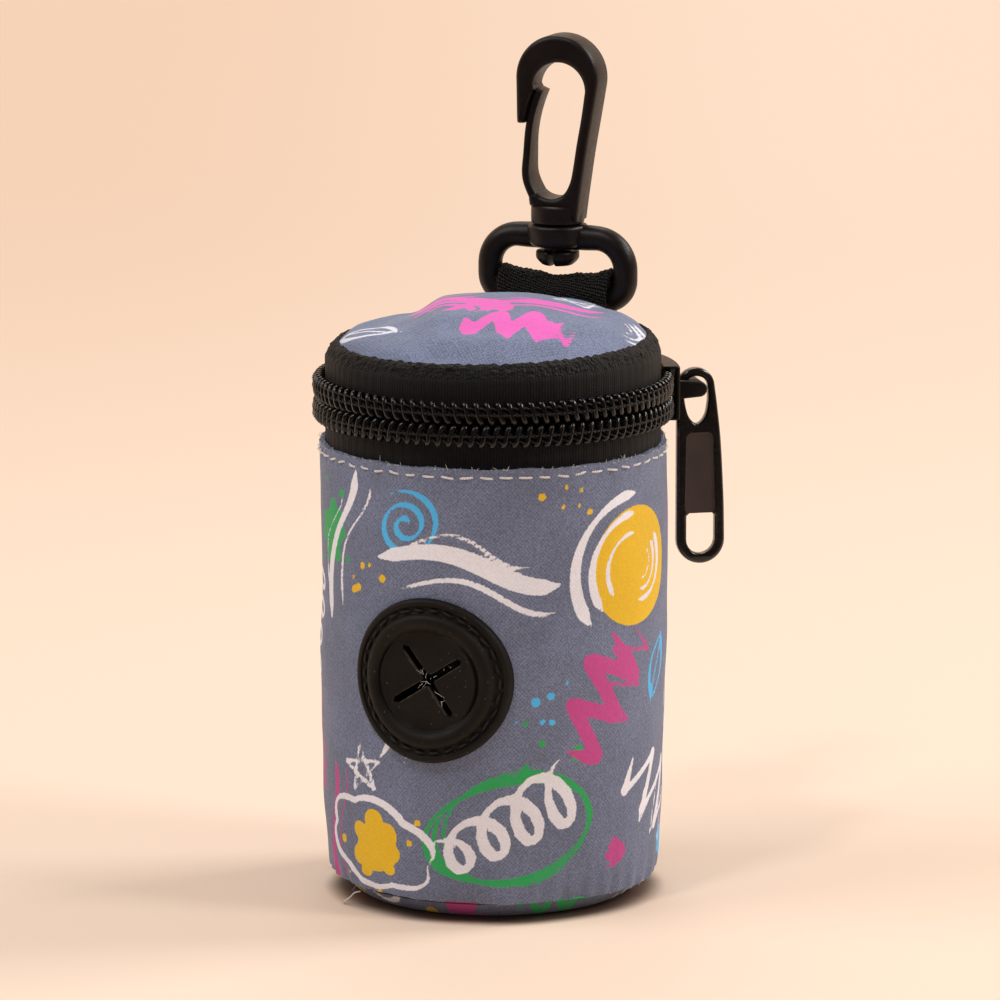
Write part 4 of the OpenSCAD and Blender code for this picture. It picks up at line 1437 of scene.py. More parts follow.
@dataclass
class Slider(OnBar):
    """The zip's slider with the bar for its pull."""

    half_length: float = 5.2
    half_height: float = 3.85
    plate_in: float = 25.45
    plate: float = 0.7
    under_out: float = 22.6
    flange: float = 0.45
    flange_in: float = 23.7
    wedge: float = 2.0
    wedge_turn: float = 7.0
    leg: float = 2.25
    bar_half: float = 2.6
    bar_radius: float = 1.08

    def bent(
        self, middle: float, up: float = 0.0, turn: float = 0.0,
    ) -> Callable[[Array, Array, Array], Array]:
        """Places (along the zip, up, outwards) on the pouch's curve at a radius."""
        start = radians(self.at + turn)
        return lambda u, v, w: around(middle + w, start + u / self.plate_in, self.chain + up + v)

    def build(self) -> None:
        """Builds plates, flanges, wedge, legs and bar."""
        made = Builder()
        half = (self.half_length, self.half_height, self.plate / 2)
        made.slab(self.bent(self.plate_in + self.plate / 2), half, 0.32, (14, 10))
        made.slab(self.bent(self.under_out - self.plate / 2), half, 0.3, (14, 10))
        depth = (self.plate_in + 0.35 - self.flange_in) / 2
        for side in (-1, 1):
            wall = self.bent(self.flange_in + depth, side * (self.half_height - self.flange / 2))
            made.slab(lambda u, v, w, wall=wall, side=side: wall(u, w, v * side),
                      (self.half_length, depth, self.flange / 2), 0.2, (14, 4))
        made.slab(self.bent(24.05, turn=self.wedge_turn), (2.1, self.wedge / 2, 1.85), 0.3, (6, 4))
        stalk = np.concatenate([polar(1.1, arc(-90, 90, 18)), [(-3.3, 1.35), (-3.3, -1.35)]])
        for side in (-1, 1):
            made.mesh(plate([stalk], 1.1, 0.3), self.stood(side * self.leg))
        t = np.linspace(-self.bar_half, self.bar_half, 12)
        made.tube(self.stood()(xyz(0, 0, -t)), self.bar_radius, 24)
        made.piece("zip_slider_body", Finish.CAST, "slider", "zip_slider", crease=35)


@dataclass
class Pull(OnBar):
    """The long zip pull that hangs from the slider's bar."""

    eye: float = 2.7
    hole: float = 1.5
    hole_wide: float = 1.72
    width: float = 6.9
    thick: float = 1.7
    length: float = 28.0
    rim: float = 1.4
    slot: float = 5.8
    panel: float = 11.6
    sink: float = 0.3

    def outline(self, x: float, low: float) -> Array:
        """Outer outline, with the origin at the bar.

        Args:
            x: Middle of the pull's width.
            low: Height of its foot's centre.

        Returns:
            The outline's points.
        """
        side = x + self.width / 2
        flank = smooth([(side, low + 0.5), (side - 0.12, low + 6.0), (self.eye + 0.95, -8.0),
                        (self.eye + 0.42, -3.0), (self.eye, 0.2)], 5)[:-1]
        return np.concatenate([polar(self.eye, arc(8, 180, 26)), [(-self.eye, -6.0), (-self.eye, low + 3.0)],
                               polar(self.width / 2, arc(180, 360, 30), x, low), flank])

    def build(self) -> None:
        """Builds the plate, cuts its sunk panels and smooths its edges."""
        low, x = -(self.length - self.eye - self.width / 2), -self.eye + self.width / 2
        inner, top = self.width / 2 - self.rim, -(self.length - self.eye - self.rim) + self.slot
        slot = np.concatenate([
            polar(inner, arc(180, 360, 20), x, low),
            [(x + inner, top - 0.4), (x + inner - 0.4, top), (x - inner + 0.4, top), (x - inner, top - 0.4)]])
        wide = self.hole_wide
        neck = smooth([(-wide, -0.2), (-1.6, -2.2), (-1.0, -4.3), (0.2, -5.3), (1.3, -4.3), (1.75, -2.2),
                       (wide, -0.2)], 4)
        hole = np.concatenate([polar(wide, arc(0, 180, 20), tall=self.hole / wide), neck])
        left, right = -self.eye + self.rim - 0.35, self.width - self.eye - self.rim + 0.15
        window = [(left, top - 0.3), (right, top - 0.3), (right - 0.35, top + self.panel),
                  (left + 0.2, top + self.panel)]
        cutters = [plate([rounded(window, 1.0)], 1.2, 0.15) for _ in range(2)]
        for side, cutter in zip((-1, 1), cutters):
            cutter.transform(Matrix.Translation((0, 0, side * (self.thick / 2 - self.sink + 0.6))))
        shape = carve(plate([self.outline(x, low), slot, hole], self.thick, 0.42), cutters)
        flat = [abs(face.normal.z) > 0.9 and abs(face.center.z) < self.thick / 2 - 0.1
                for face in shape.polygons]
        made = Builder()
        made.mesh(shape, self.stood())
        piece = made.piece("zip_pull_plate", Finish.ENAMEL, "pull", "zip_pull", crease=30)
        # The sunk panel faces take the matt finish, whose lighter colour is a painted reflection.
        painted(piece, Finish.PANEL, lambda face: flat[face.index])


# ---------------------------------------------------------------- lid


@dataclass
class Lid:
    """The padded, printed lid and its lining."""

    rim: float = 79.0
    radius: float = 21.45
    height: float = 5.6
    cloth: float = 0.8
    skirt: float = 74.65
    lining_radius: float = 21.7
    fullness: float = 0.3
    most_rise: float = 2.0
    pressure: float = 2.5
    azimuth: float = 21.5

    def dome(self, x: Array, y: Array) -> Array:
        """Height of the padded cloth above a point, with its dents and the pull of its seam.

        Args:
            x: First coordinate in millimetres.
            y: Second coordinate in millimetres.

        Returns:
            The heights.
        """
        r, angle = np.hypot(x, y), np.arctan2(x, -y)
        ball = (self.radius**2 + self.height**2) / (2 * self.height)
        base = self.rim + self.height - ball + np.sqrt(np.clip(ball**2 - r**2, 0, None))
        a = radians(self.azimuth)
        across, deep = x * cos(a) + y * sin(a), -x * sin(a) + y * cos(a)
        free = 1 - ease(r, 15.0, 21.3)
        step = -1.35 * (1 - ease(across, -12.0, -6.6)) * free
        crown = -1.05 * bump(across, 1.0, 12) * bump(deep, 0.0, 13)
        dent = -0.55 * bump(across, -9.6, 2.6) * bump(deep, 3.0, 8)
        gathered = ease(r, 12, 19) * (1 - ease(r, 20.3, 21.4)) * 0.35
        puckers = gathered * waves(angle * self.radius, r * 0.25, 62, 11)
        swell = 0.55 * np.sin(pi * ease(r, 12.5, 22.5))
        pull = sag(angle) * ease(r, 9, 20) + 0.25 * waves(x, y, 61, 17) * free
        return base + step + crown + dent + puckers + swell + pull

    def simulated(self, points: Array) -> Array:
        """The lid's cloth, blown up a little against its seam by a cloth simulation.

        Args:
            points: The cloth's rest points in millimetres, as (rows, columns, 3).
        """
        made, scene = Builder(), bpy.context.scene
        cage = points[::3, ::3]
        made.grid(cage)
        pad = made.build("lid_pad_cage", Finish.CLOTH.material)
        rest = np.array([v.co for v in pad.data.vertices])
        seam = np.flatnonzero(np.hypot(rest[:, 0], rest[:, 1]) > (self.radius - 1.3) * MM)
        pad.vertex_groups.new(name="seam").add(seam.tolist(), 1.0, "REPLACE")
        cloth = pad.modifiers.new("cloth", "CLOTH")
        cloth.collision_settings.use_collision = False
        cloth.settings.effector_weights.gravity = 0.0
        for key, value in {
            "quality": 6, "mass": 0.02, "tension_stiffness": 12, "compression_stiffness": 12,
            "bending_stiffness": 0.6, "shrink_min": -0.035, "use_pressure": True,
            "uniform_pressure_force": self.pressure, "vertex_group_mass": "seam",
        }.items():
            setattr(cloth.settings, key, value)
        for step in range(1, 21):
            scene.frame_set(step)
        moved = np.array([v.co for v in evaluated(pad).vertices])[:, 2] - rest[:, 2]
        bpy.data.objects.remove(pad)
        scene.frame_set(1)
        rise = self.fullness * np.clip(moved.reshape(cage.shape[:2]) / MM, -self.most_rise, self.most_rise)
        LOG.info("lid cloth rose %.2f to %.2f mm", rise.min(), rise.max())
        fine, coarse = np.linspace(0, len(rise) - 1, len(points)), np.arange(len(rise))
        for _ in range(2):
            rise = np.stack([np.interp(fine, coarse, line) for line in rise.T])
        return rise

    def cover(self) -> None:
        """The printed dome with the foam under it."""
        spots = disc(self.radius, 90)
        x, y = np.moveaxis(spots, -1, 0)
        z = self.dome(x, y)
        z = z + self.simulated(xyz(x, y, z))
        z = np.minimum(z, self.rim + self.height + 0.55) - 0.25 * bump(x, 0.4, 5.5) * bump(y, 16.2, 3.2)
        made, foam = Builder(), Builder()
        made.shell(xyz(x, y, z), xyz(x * 0.985, y * 0.985, z - self.cloth), spots)
        # The lid takes the cloth painted lighter, as painted light on its top.
        piece = made.piece("lid_cloth_lit", Finish.LID_CLOTH_LIT, "lid", "lid_panel", crease=60)
        LID_PRINT.paint(piece, x, y)
        x, y = x * 0.975, y * 0.975
        under = self.ceiling(x, y) + 0.5
        foam.shell(xyz(x, y, np.maximum(z - self.cloth - 0.04, under + 0.05)), xyz(x, y, under), spots)
        foam.piece("lid_foam_pad", Finish.FOAM, "lid", "lid_foam", crease=60)

    @staticmethod
    def ceiling(x: Array, y: Array) -> Array:
        """Height of the lining's hollow above a point."""
        r = np.hypot(x, y)
        soft = 0.2 * (1 + waves(x, y, 63, 9)) * (1 - ease(r, 16, 21))
        return 80.9 + 1.1 * ease(r, 13, 20) - 0.0125 * r**2 * (1 - 0.0004 * r**2) - soft

    def lining(self) -> None:
        """The lid's dark lining with its skirt."""
        spots = disc(1.0, 60) * self.lining_radius
        x, y = np.moveaxis(spots, -1, 0)
        depth = ease(np.hypot(x, y), 20.4, 21.7)
        z, out = self.ceiling(x, y) * (1 - depth) + self.skirt * depth, 1 + depth * 0.022
        made = Builder()
        made.shell(xyz(x * out, y * out, z + 0.45 * (1 - depth)), xyz(x, y, z), spots)
        made.piece("lid_lining_cloth", Finish.LINING, "lid", "lid_lining", crease=60)

    def build(self) -> None:
        """Builds the lid."""
        self.cover()
        self.lining()


# ---------------------------------------------------------------- grommet


@dataclass
class Grommet:
    """The sewn-on rubber grommet with four flaps between two crossing slits."""

    z: float = 34.5
    face: float = 24.35
    mouth: float = 7.1
    front: float = 24.75
    membrane: float = 0.8
    slit_half: float = 6.0
    slit_width: float = 1.0
    slits: tuple[float, float] = (33.0, 126.0)
    gap: float = 0.012
    columns: int = 240
    stitches: int = 30
    groove: float = 10.05

    def corners(self) -> list[float]:
        """Angles in degrees of the slits' four ends, and of the first end again."""
        return [slit + half_turns * 180 for half_turns in range(3) for slit in self.slits][:5]

    def ring(self) -> None:
        """Flange, stitching groove, raised ring and the membrane round the flaps."""
        profile = smooth([
            (11.55, 0.02), (11.52, 0.5), (11.34, 0.88), (11.0, 1.02), (10.66, 0.98), (10.46, 0.7),
            (10.05, 0.6), (9.6, 0.7), (9.46, 0.98), (9.3, 1.25), (9.02, 1.5), (8.6, 1.6), (8.1, 1.55),
            (7.7, 1.38), (7.38, 1.1), (7.2, 0.86)], 4)
        degrees = np.arange(self.columns) * 360 / self.columns
        turn = np.radians(degrees)
        field_r = np.full(self.columns, self.slit_half)
        corners = self.corners()
        for a, b in zip(corners[:-1], corners[1:]):
            for lap in (0, 360):
                inside = (degrees + lap >= a - 0.1) & (degrees + lap <= b + 0.1)
                edge = self.slit_half * cos(radians(b - a) / 2)
                field_r[inside] = edge / np.cos(np.radians(degrees[inside] + lap - (a + b) / 2))
        flat = np.linspace(0.03, 1, 8)[:, None]
        start = self.mouth - 0.05
        rho = np.concatenate([np.repeat(profile[:, :1], self.columns, 1), start + (field_r - start) * flat])
        x, z = np.moveaxis(polar(rho, turn, 0.0, self.z), -1, 0)
        surface = self.face + profile[:, 1:] + 0.03 * waves(turn * 9, 0 * turn, 71, 12)
        y = -np.sqrt(np.maximum(surface**2 - x[: len(profile)] ** 2, 1.0))
        dip = 0.07 * np.sin(pi * flat) ** 2
        y = np.concatenate([y, np.broadcast_to(-self.front + dip, (8, self.columns))])
        sewn = -np.sqrt(np.maximum(self.face**2 - x**2, 1.0))
        back = np.where(rho > self.mouth + 0.5, sewn, -self.front + self.membrane)
        made = Builder()
        uv = plane(np.arange(self.columns + 1) * 0.25, np.arange(len(rho)) * 0.3)
        made.shell(xyz(x, y, z), xyz(x, np.maximum(back, y + 0.05), z), uv, True)
        made.piece("grommet_rubber_ring", Finish.RUBBER, "pouch", "grommet", crease=50)

    def flap(self, place: str, start: float, end: float) -> None:
        """One rubber flap between two slits.

        Args:
            place: Which flap it is.
            start: Angle of the slit at its one side, in degrees.
            end: Angle of the slit at its other side.
        """
        half, middle = radians(end - start) / 2, radians(start + end) / 2
        root, near = self.slit_half * cos(half) - self.gap, self.slit_width / 2 / sin(half)
        side, along = np.meshgrid(np.sin(np.linspace(-1, 1, 25) * pi / 2), np.linspace(0, 1, 22) ** 0.8)
        tip = near + 0.22
        r = tip + (root - tip) * along
        width = np.minimum((r - near) * np.tan(half), (self.slit_half - self.gap * 4) * sin(half))
        cut = (1 - np.abs(side)) * width
        low = 0.16 * np.clip(1 - cut / 0.2, 0, 1) ** 2 + 0.1 * np.clip(1 - (r - tip) / 0.3, 0, 1) ** 2
        y = -self.front + 0.16 * (1 - ease(r, near, near + 2.6))
        x = r * cos(middle) - side * width * sin(middle)
        z = self.z + r * sin(middle) + side * width * cos(middle)
        made = Builder()
        made.shell(xyz(x, y + low, z), xyz(x, y + self.membrane - 0.4 * low, z), np.stack([x, z], -1))
        piece = made.piece(
            f"flap_{place}_rubber", Finish.RUBBER, f"flap_{place}", f"slit_flap_{place}", crease=50)
        painted(piece, Finish.RUBBER_EDGE, lambda face: abs(face.normal.y) < 0.8)

    def sewing(self) -> None:
        """Black stitches in the groove and white lint at the crossing of the slits."""
        made, lint = Builder(), Builder()
        rng = np.random.default_rng(72)
        ends = np.array([-1, 0, 1])
        for k in range(self.stitches):
            turn = k * tau / self.stitches + ends * 0.084 * rng.uniform(0.85, 1.05)
            reach = self.groove + rng.normal(0, 0.05) + ends * rng.normal(0, 0.1)
            x, z = polar(reach, turn, 0.0, self.z).T
            out = self.face + 0.62 + np.array([-0.05, 0.24, -0.05])
            stitch(made, xyz(x, -np.sqrt(out**2 - x**2), z), 0.2)
        made.piece("grommet_stitches", Finish.DARK_THREAD, "pouch", "grommet_stitching")
        roots, ways = [], []
        for slit in self.corners()[:4]:
            for _ in range(4):
                r, a = abs(rng.normal(0, 2.0)), radians(slit + rng.normal(0, 3))
                roots.append((r * cos(a), -self.front + 0.1, self.z + r * sin(a)))
                ways.append((cos(a), -0.15, sin(a)))
        hairs(lint, np.array(roots), np.array(ways), 0.9, 0.026, 73)
        lint.piece("grommet_lint", Finish.WHITE_THREAD, "pouch")

    def build(self) -> None:
        """Builds ring, flaps and stitches."""
        self.ring()
        corners = self.corners()
        for place, start, end in zip(("top", "left", "bottom", "right"), corners, corners[1:]):
            self.flap(place, start, end)
        self.sewing()


# ---------------------------------------------------------------- strap, ring, hook


@dataclass
class Strap:
    """The webbing loop that holds the ring on the lid."""

    y: float = 25.1
    bar: float = 80.4
    width: float = 16.4
    thick: float = 0.9
    off: float = 2.52
    pitch: float = 1.5
    relief: float = 0.2
    rows: int = 118
    columns: int = 132
    fibres: int = 150

    def build(self) -> None:
        """Builds the loop, which rises at its sides and sags in its middle, with furry edges."""
        off = self.off
        line = spread(smooth(np.concatenate([
            [(-off + 0.15, -1.5), (-off, -0.6)], polar(off, arc(180, 0, 13), tall=1 + 0.75 / off),
            [(off - 0.05, -0.9), (1.9, -2.0), (0.5, -2.75), (-0.6, -2.75)],
        ]), 4), self.rows)
        out, up = line[:, :1], line[:, 1:]
        t = np.linspace(-1, 1, self.columns)
        side, high, low = np.abs(t), ease(up, 0.4, 3.0), 1 - ease(up, -1.4, 0.2)
        spreading = 1 + 0.02 * high + 0.17 * low * ease(-out, -1.0, 0.5)
        x = t * self.width / 2 * spreading + 0.18 * waves(up * 3 + out, 0 * t, 81, 9)
        lift = high * (side**3 - 0.12 - 0.45 * bump(t, 0.0, 0.3) + 0.12 * waves(t * 8, out, 82, 7))
        body = 1 - 0.45 * np.clip((side - 0.93) / 0.07, 0, 1) ** 2
        u, v = np.meshgrid(t * self.width / 2, lengths(line))
        rib = np.sin(u * tau / self.pitch)
        over = np.abs(np.sin(v * tau / self.pitch + np.where(rib > 0, 0.0, pi / 2)))
        yarns = self.relief * over * np.abs(rib) ** 0.6 * (1 + 0.4 * waves(u, v, 85, 1.6)) - 0.11

        def face(offset: float) -> Array:
            """One face of the strap, at an offset from its middle."""
            reach = (offset + np.sign(offset) * yarns) * body
            p = line[:, None] + normals(line)[:, None] * reach[..., None]
            return xyz(x, self.y + p[..., 0], self.bar + p[..., 1] + lift)

        made, fluff = Builder(), Builder()
        made.shell(face(self.thick / 2), face(-self.thick / 2), np.stack([v, u], -1))
        made.piece("strap_webbing", Finish.WEBBING, "lid", "strap_loop", crease=60)
        rng, count = np.random.default_rng(83), self.fibres
        rows = rng.integers(8, 90, count)
        columns = np.where(rng.uniform(0, 1, count) < 0.5, 0, self.columns - 1)
        ways = xyz(np.sign(columns - 1.0), rng.normal(0, 0.3, count), rng.normal(0.2, 0.3, count)) * 0.8
        hairs(fluff, face(0.2)[rows, columns], ways, 0.5, 0.035, 84)
        fluff.piece("strap_fibres", Finish.BLACK_THREAD, "lid")


@dataclass
class Ring:
    """The moulded ring with its swivel hub."""

    y: float = 25.1
    bar: float = 80.4
    rod: float = 1.75
    bend: float = 4.4
    corner: float = 3.0
    side: float = 10.3
    hub: float = 4.3
    bore: float = 1.99
    hub_height: float = 3.1

    def build(self) -> None:
        """Builds the rod round the ring and the bored hub."""
        top, hub, bore = self.bar + 2 * self.bend, self.hub, self.bore
        lower, upper = (self.corner, self.bar + self.corner), (self.bend, top - self.bend)
        placed = ((1, lower, -90), (1, upper, 0), (-1, upper, 90), (-1, lower, 180))
        corners = [polar(r, arc(start, start + 90, 12), side * (self.side - r), z)
                   for side, (r, z), start in placed]
        x, z = spread(np.concatenate([*corners, corners[0][:1]]), 160)[:-1].T
        made = Builder()
        thicker = 1 + 0.06 * bump(z, top, 1.2) * ease(np.abs(x), 7, 4)
        made.tube(xyz(x, self.y, z), (self.rod - 0.01) * thicker, 24, closed=True, hint=(0, 1, 0))
        up, low = top + self.rod, top + self.rod - self.hub_height
        outline = smooth([
            (bore, low + 0.25), (2.4, low), (hub - 1.0, low + 0.02), (hub - 0.45, low + 0.3),
            (hub - 0.08, low + 0.95), (hub, up - 1.1), (hub, up - 0.42), (hub - 0.12, up - 0.14),
            (hub - 0.4, up - 0.01), (2.4, up), (bore, up - 0.2)], 3)
        outline[:, 0] = np.clip(outline[:, 0], bore, hub + 0.01)
        made.lathe(np.concatenate([outline, [(bore, up - 0.9), (bore, low + 0.5)]]), self.y, 72, loop=True)
        made.piece("swivel_ring_body", Finish.PLASTIC, "ring", "swivel_ring")


@dataclass
class Hook:
    """The moulded snap hook with its swivel stem, and the flexible gate."""

    y: float = 25.1
    foot: float = 93.6
    top: float = 118.2
    thick: float = 5.0
    bow: float = 6.2
    bow_x: float = 0.6
    eye: float = 4.0
    eye_x: float = 0.8
    eye_z: float = 110.3
    nose: float = 105.6
    root: tuple[float, float] = (-3.1, 96.0)
    gate: float = 1.05
    collar: float = 3.8
    collar_low: float = 91.1
    barb: float = 3.1
    barb_top: float = 87.2
    barb_height: float = 2.1
    barb_gap: float = 0.42
    stem: float = 1.9

    def gate_x(self, z: Array) -> Array:
        """The gate's centre line: bowed outwards above its root and leaning in to the nose."""
        u = (z - self.root[1]) / (self.eye_z - self.root[1])
        return self.root[0] - 4.6 * u + 5.5 * u * u

    def outline(self) -> Array:
        """The hook's outline from the collar round the bow and back along the opening."""
        foot, collar, root, nose = self.foot, self.collar, self.root[1], self.nose
        right = smooth([(collar - 0.15, foot - 1.9), (collar + 0.1, foot), (collar + 0.26, foot + 1.2),
                        (4.45, 97.5), (5.05, 101.5), (5.9, 106.3), (6.55, 110.0)], 4)
        left = self.bow_x - self.bow
        tip = [(left + 0.1, nose + 1.0), (left + 0.14, nose + 0.1), (left + 0.26, nose - 0.18),
               (left + 0.7, nose - 0.22)]
        z = np.linspace(nose - 0.15, self.eye_z, 12)
        face = np.stack([self.gate_x(z) - self.gate / 2 - 0.13, z], -1)
        inside = smooth([(4.8, 110.3), (4.25, 106.5), (3.55, 102.6), (3.05, 99.4), (2.6, 97.3), (1.75, 95.7),
                         (0.6, 94.95), (-0.6, 94.85), (-1.7, 95.1), (-2.4, 95.55)], 4)[1:]
        base = [(-3.15, root - 0.3), (-3.58, root - 0.7), (-3.66, root - 1.4), (-3.55, foot + 0.2),
                (-2.6, foot - 0.6), (1.5, foot - 1.9)]
        return np.concatenate([
            right, polar(self.bow, arc(-8, 184, 48), self.bow_x, self.top - self.bow), tip, face,
            polar(self.eye, arc(172, 0, 36), self.eye_x, self.eye_z), inside, base])

    def body(self) -> None:
        """The hook's flat bow, collar, stem and split barb."""
        made = Builder()
        made.mesh(plate([self.outline()], self.thick, 0.72), upright(self.y))
        low, high, wide = self.collar_low, self.foot + 0.05, self.collar
        made.lathe(smooth([
            (1.6, low), (wide - 0.5, low + 0.01), (wide - 0.1, low + 0.18), (wide, low + 0.55),
            (wide, high - 0.3), (wide - 0.06, high - 0.05), (wide - 0.5, high + 0.12), (1.6, high + 0.14),
        ], 3), self.y, 72)
        made.lathe([(self.stem, self.barb_top - 0.5), (self.stem, low + 0.3)], self.y, 40)
        self.split_barb(made)
        made.piece("snap_hook_body", Finish.PLASTIC, "hook", "snap_hook", crease=34)

    def split_barb(self, made: Builder) -> None:
        """Adds the two halves of the barb, which spring apart under the hub.

        Args:
            made: The hook's builder.
        """
        top, low, wide = self.barb_top, self.barb_top - self.barb_height, self.barb
        profile = smooth([
            (1.0, top), (wide - 0.35, top - 0.01), (wide - 0.05, top - 0.15), (wide, top - 0.5),
            (wide - 0.06, top - 1.1), (wide - 0.55, low + 0.4), (wide - 1.1, low + 0.02), (1.0, low)], 3)[::-1]
        for side in (-1, 1):
            x, y = np.moveaxis(polar(side * profile[:, :1], arc(-78, 78, 36)), -1, 0)
            flat, z = side * self.barb_gap, profile[:, 1:]
            x = np.where(side * x < self.barb_gap, flat, x)
            made.shell(xyz(x, self.y + y, z), xyz(flat, self.y + y, z), np.stack([x, y], -1))

    def spring(self) -> None:
        """The flexible gate, fuller bowed low down, with its knuckle in the hook's foot."""
        low = self.root[1] - 1.1
        z = np.linspace(low, self.eye_z - 0.05, 30)
        line = np.stack([self.gate_x(z) - 0.55 * bump(z, 97.6, 2.6), z], -1)
        half = normals(line) * (self.gate / 2 * (1 + 0.22 * np.exp((low - z) / 1.6)))[:, None]
        outline = np.concatenate([(line - half)[::-1], line + half])

        def narrower(p: Array) -> Array:
            """Stands the strip up, a little narrower towards its tip."""
            depth = p[:, 2] * (1 - 0.3 * ease(p[:, 1], low + 0.5, low + 9))
            return upright(self.y)(np.column_stack([p[:, :2], depth]))

        made = Builder()
        made.mesh(plate([outline], self.thick - 0.1, 0.42), narrower)
        made.piece("hook_gate_strip", Finish.PLASTIC, "gate", "hook_gate", crease=34)

    def build(self) -> None:
        """Builds hook and gate."""
        self.body()
        self.spring()


# ---------------------------------------------------------------- roll


@dataclass
class Roll:
    """The roll of bags on its cardboard core."""

    low: float = 3.25
    length: float = 60.0
    radius: float = 15.5
    core: float = 7.1
    wall: float = 0.6
    columns: int = 150

    def build(self) -> None:
        """Builds the wound film and the core."""
        turn, low, top, out = turns(self.columns), self.low, self.low + self.length, self.radius
        end = [(self.core + 0.06, 0.5), (self.core + 0.1, 0.02),
               *((r, 0.0) for r in np.linspace(self.core + 0.5, out - 0.5, 16)),
               (out - 0.15, 0.1), (out, 0.5)]
        line = np.array([
            *((r, low + d) for r, d in end), *((out, z) for z in np.linspace(low + 2, top - 2, 46)),
            *((r, top - d) for r, d in reversed(end))])
        angle, r = np.meshgrid(turn, line[:, 0])
        z = np.broadcast_to(line[:, 1:], r.shape)
        layers = 0.22 * (1 + np.sin(r * 7.5 + angle + 2 * waves(angle * 8, r, 91, 9)))
        wound = (r < out - 0.3) & (r > self.core + 0.3)
        z = z + np.where(wound, np.where(z > low + self.length / 2, -1, 1) * layers, 0)
        crease = 0.13 * (1 + waves(angle * out, z * 0.2, 92, 5)) + 0.05 * (1 + np.sin(angle * 37))
        film, tube = Builder(), Builder()
        film.grid(around(r - np.where(r > out - 0.3, crease, 0), angle, z), wrap=True, loop=True)
        film.piece("bag_roll_film", Finish.FILM, "roll", "bag_roll", crease=60)
        inner, out = self.core - self.wall, self.core
        line = np.array([
            (out, low + 0.1), (out, top - 0.1), (out - 0.1, top), (inner + 0.1, top), (inner, top - 0.1),
            (inner, low + 0.1), (inner + 0.1, low), (out - 0.1, low)])
        squash = 1 - 0.006 * (1 + np.sin(turn * 3 + 1))
        tube.grid(around(line[:, :1] * squash, turn, line[:, 1:]), wrap=True, loop=True)
        tube.piece("roll_core_tube", Finish.CARD, "roll", "roll_core")


# ---------------------------------------------------------------- studio


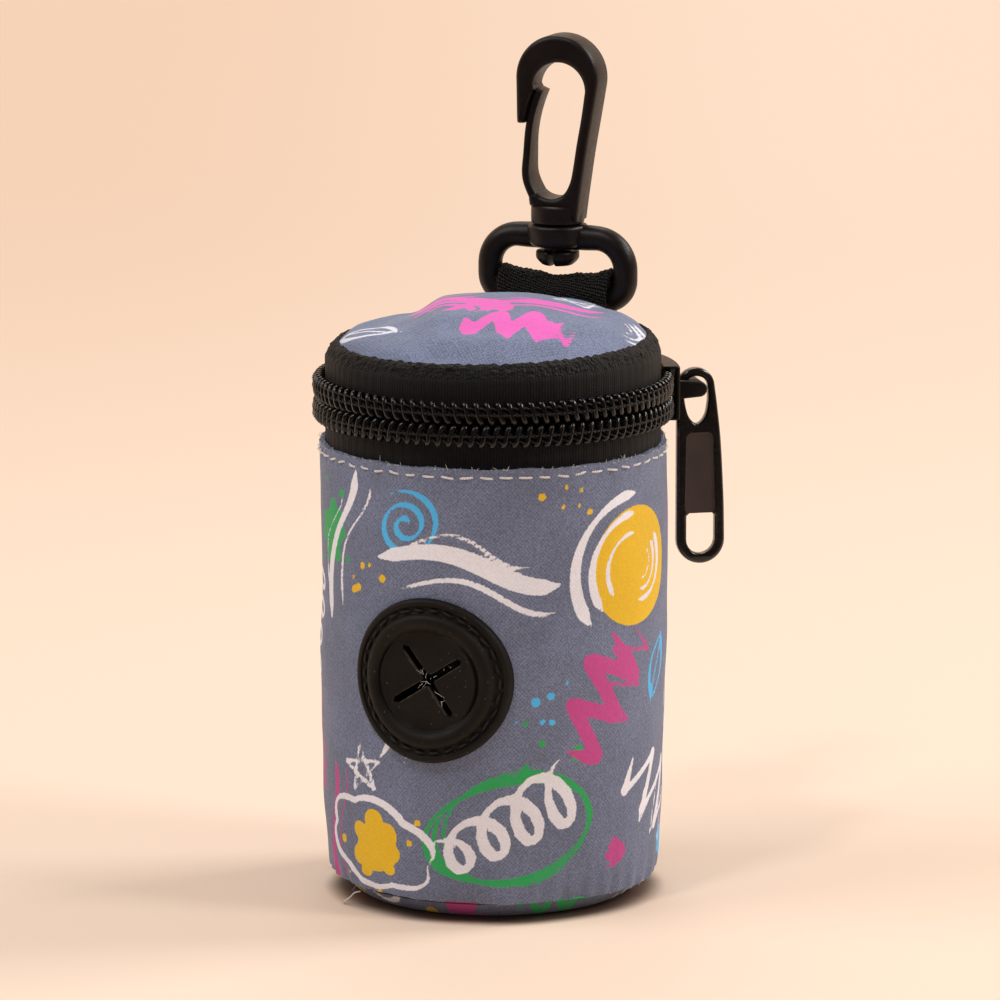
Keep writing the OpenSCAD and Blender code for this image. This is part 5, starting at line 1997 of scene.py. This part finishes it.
@dataclass
class Studio:
    """The camera, the pale floor with its backdrop, and the lamps."""

    azimuth: float = 21.5
    distance: float = 1000.0
    height: float = 249.0
    tilt: float = 10.956
    yaw: float = 0.055
    lens: float = 261.7
    lamp_lift: float = 60.0
    paper: Colour = srgb(240, 215, 194)
    painted_contact_shadow: Colour = srgb(64, 34, 22)
    warm: Colour = (1.0, 0.94, 0.89, 1.0)
    backdrop: Colour = srgb(251, 217, 190)
    backdrop_shaded_left: Colour = srgb(246, 211, 183)
    backdrop_lit_right: Colour = srgb(255, 225, 201)

    def camera(self) -> None:
        """Places the camera at its viewing angle."""
        lens = bpy.data.cameras.new("camera")
        lens.lens, lens.sensor_width = self.lens, 36.0
        lens.clip_start, lens.clip_end = 0.05, 50.0
        holder = linked("camera", lens)
        holder.location = around(self.distance * MM, radians(self.azimuth), self.height * MM)
        holder.rotation_euler = (radians(90 - self.tilt), 0.0, radians(self.azimuth - self.yaw))
        bpy.context.scene.camera = holder

    def floor(self) -> None:
        """A wide flat sheet of paper that keeps the shadow, with a painted contact shadow darkened in under
        the part, and turns into the backdrop further off.
        """
        n = Nodes("paper")
        at = n.place(1.0)
        tint = n.mix(1.0, self.paper, n.noise(at, 0.8).step(0.3, 0.7, 0.985, 1.0).grey(), "MULTIPLY")
        # Ambient occlusion darkens the paper towards a dark brown where the part stands close above it: a
        # painted contact shadow.
        near = n.add("AmbientOcclusion", {"Distance": 0.0038}, "AO", samples=12)
        tint = n.mix(near.step(0.25, 0.95, 0.9, 0.0), tint, self.painted_contact_shadow)
        grain = n.relief(n.noise(at, 900.0), 0.02)
        lit = n.shader(Base_Color=tint, Roughness=0.95, Normal=grain, Specular_IOR_Level=0.1)
        away = n.add("VectorMath", {0: at}, "Value", operation="LENGTH")
        # The far paper glows darker on the left and lighter on the right: painted light falloff across the
        # backdrop.
        sides = n.mix(at.facing(self.azimuth + 90).step(-0.1, 0.1), self.backdrop_shaded_left, self.backdrop_lit_right)
        plain = n.add("Emission", {"Color": sides, "Strength": 1.0})
        paper = n.blended(n.seen() * away.step(0.12, 0.75), lit, plain)
        flag = n.add("Emission", {"Color": self.backdrop, "Strength": 0.05})
        shaded = n.ray("Glossy") * at.facing(self.azimuth).step(0.035, 0.16)
        r = np.concatenate([[2.0], np.geomspace(30, 3000, 30)])
        made = Builder()
        index = made.grid(around(r[:, None], turns(96), -0.02), wrap=True)
        made.loose.append(index[0, :-1].tolist())
        made.build("floor_sheet", n.end(n.blended(shaded, paper, flag)), 180)

    def lamp(
        self, name: str, place: tuple[float, float, float], size: float, level: float, colour: Colour,
    ) -> None:
        """Adds a square soft lamp aimed at the part.

        Args:
            name: The lamp's name.
            place: Azimuth and elevation in degrees and distance in millimetres.
            size: The lamp's side in millimetres.
            level: How bright it alone makes a white surface that faces it, where 1 is white.
            colour: The light's colour.
        """
        azimuth, elevation, far = radians(place[0]), radians(place[1]), place[2] * MM
        light = bpy.data.lights.new(name, "AREA")
        light.size, light.energy, light.color = size * MM, level * (pi * far) ** 2, colour[:3]
        holder = linked(name, light)
        holder.location = around(cos(elevation) * far, azimuth, far * sin(elevation) + self.lamp_lift * MM)
        holder.rotation_euler = (pi / 2 - elevation, 0.0, azimuth)

    def world(self) -> None:
        """Even, slightly warm light from all round, in front of which the backdrop shows its own colour."""
        n = Nodes("room", True)
        light, plain, dark = (
            n.add("Background", {"Color": colour, "Strength": strength})
            for colour, strength in ((self.warm, 0.4), (self.backdrop, 1.0), (self.backdrop, 0.06)))
        front = n.add("TexCoord", output="Generated").facing(self.azimuth)
        shaded = n.ray("Glossy") * front.step(-0.75, 0.1)
        bpy.context.scene.world = n.end(n.blended(shaded, n.blended(n.seen(), light, plain), dark))

    def build(self) -> None:
        """Builds the studio."""
        self.camera()
        self.floor()
        self.lamp("key", (131.0, 38.0, 1200.0), 420.0, 0.5, (1.0, 0.97, 0.94, 1.0))
        self.lamp("fill", (-56.0, 44.0, 1300.0), 700.0, 0.34, (0.97, 0.98, 1.0, 1.0))
        self.lamp("edge", (90.0, 34.0, 1200.0), 260.0, 0.28, (1.0, 0.98, 0.97, 1.0))
        self.lamp("sparkle", (-12.0, 58.0, 1300.0), 130.0, 0.16, (1.0, 0.98, 0.96, 1.0))
        self.lamp("back", (205.0, 52.0, 1300.0), 500.0, 0.16, (1.0, 0.95, 0.9, 1.0))
        self.world()
        bpy.context.scene.view_settings.view_transform = "Standard"
        LOG.info("studio: camera, floor, lamps")


def main() -> None:
    """Builds every part of the scene in order."""
    logging.basicConfig(level=logging.INFO, format="%(message)s")
    Studio().build()
    for part in (Pouch, Zip, Slider, Pull, Lid, Grommet, Strap, Ring, Hook, Roll):
        part().build()


if __name__ == "__main__":
    main()
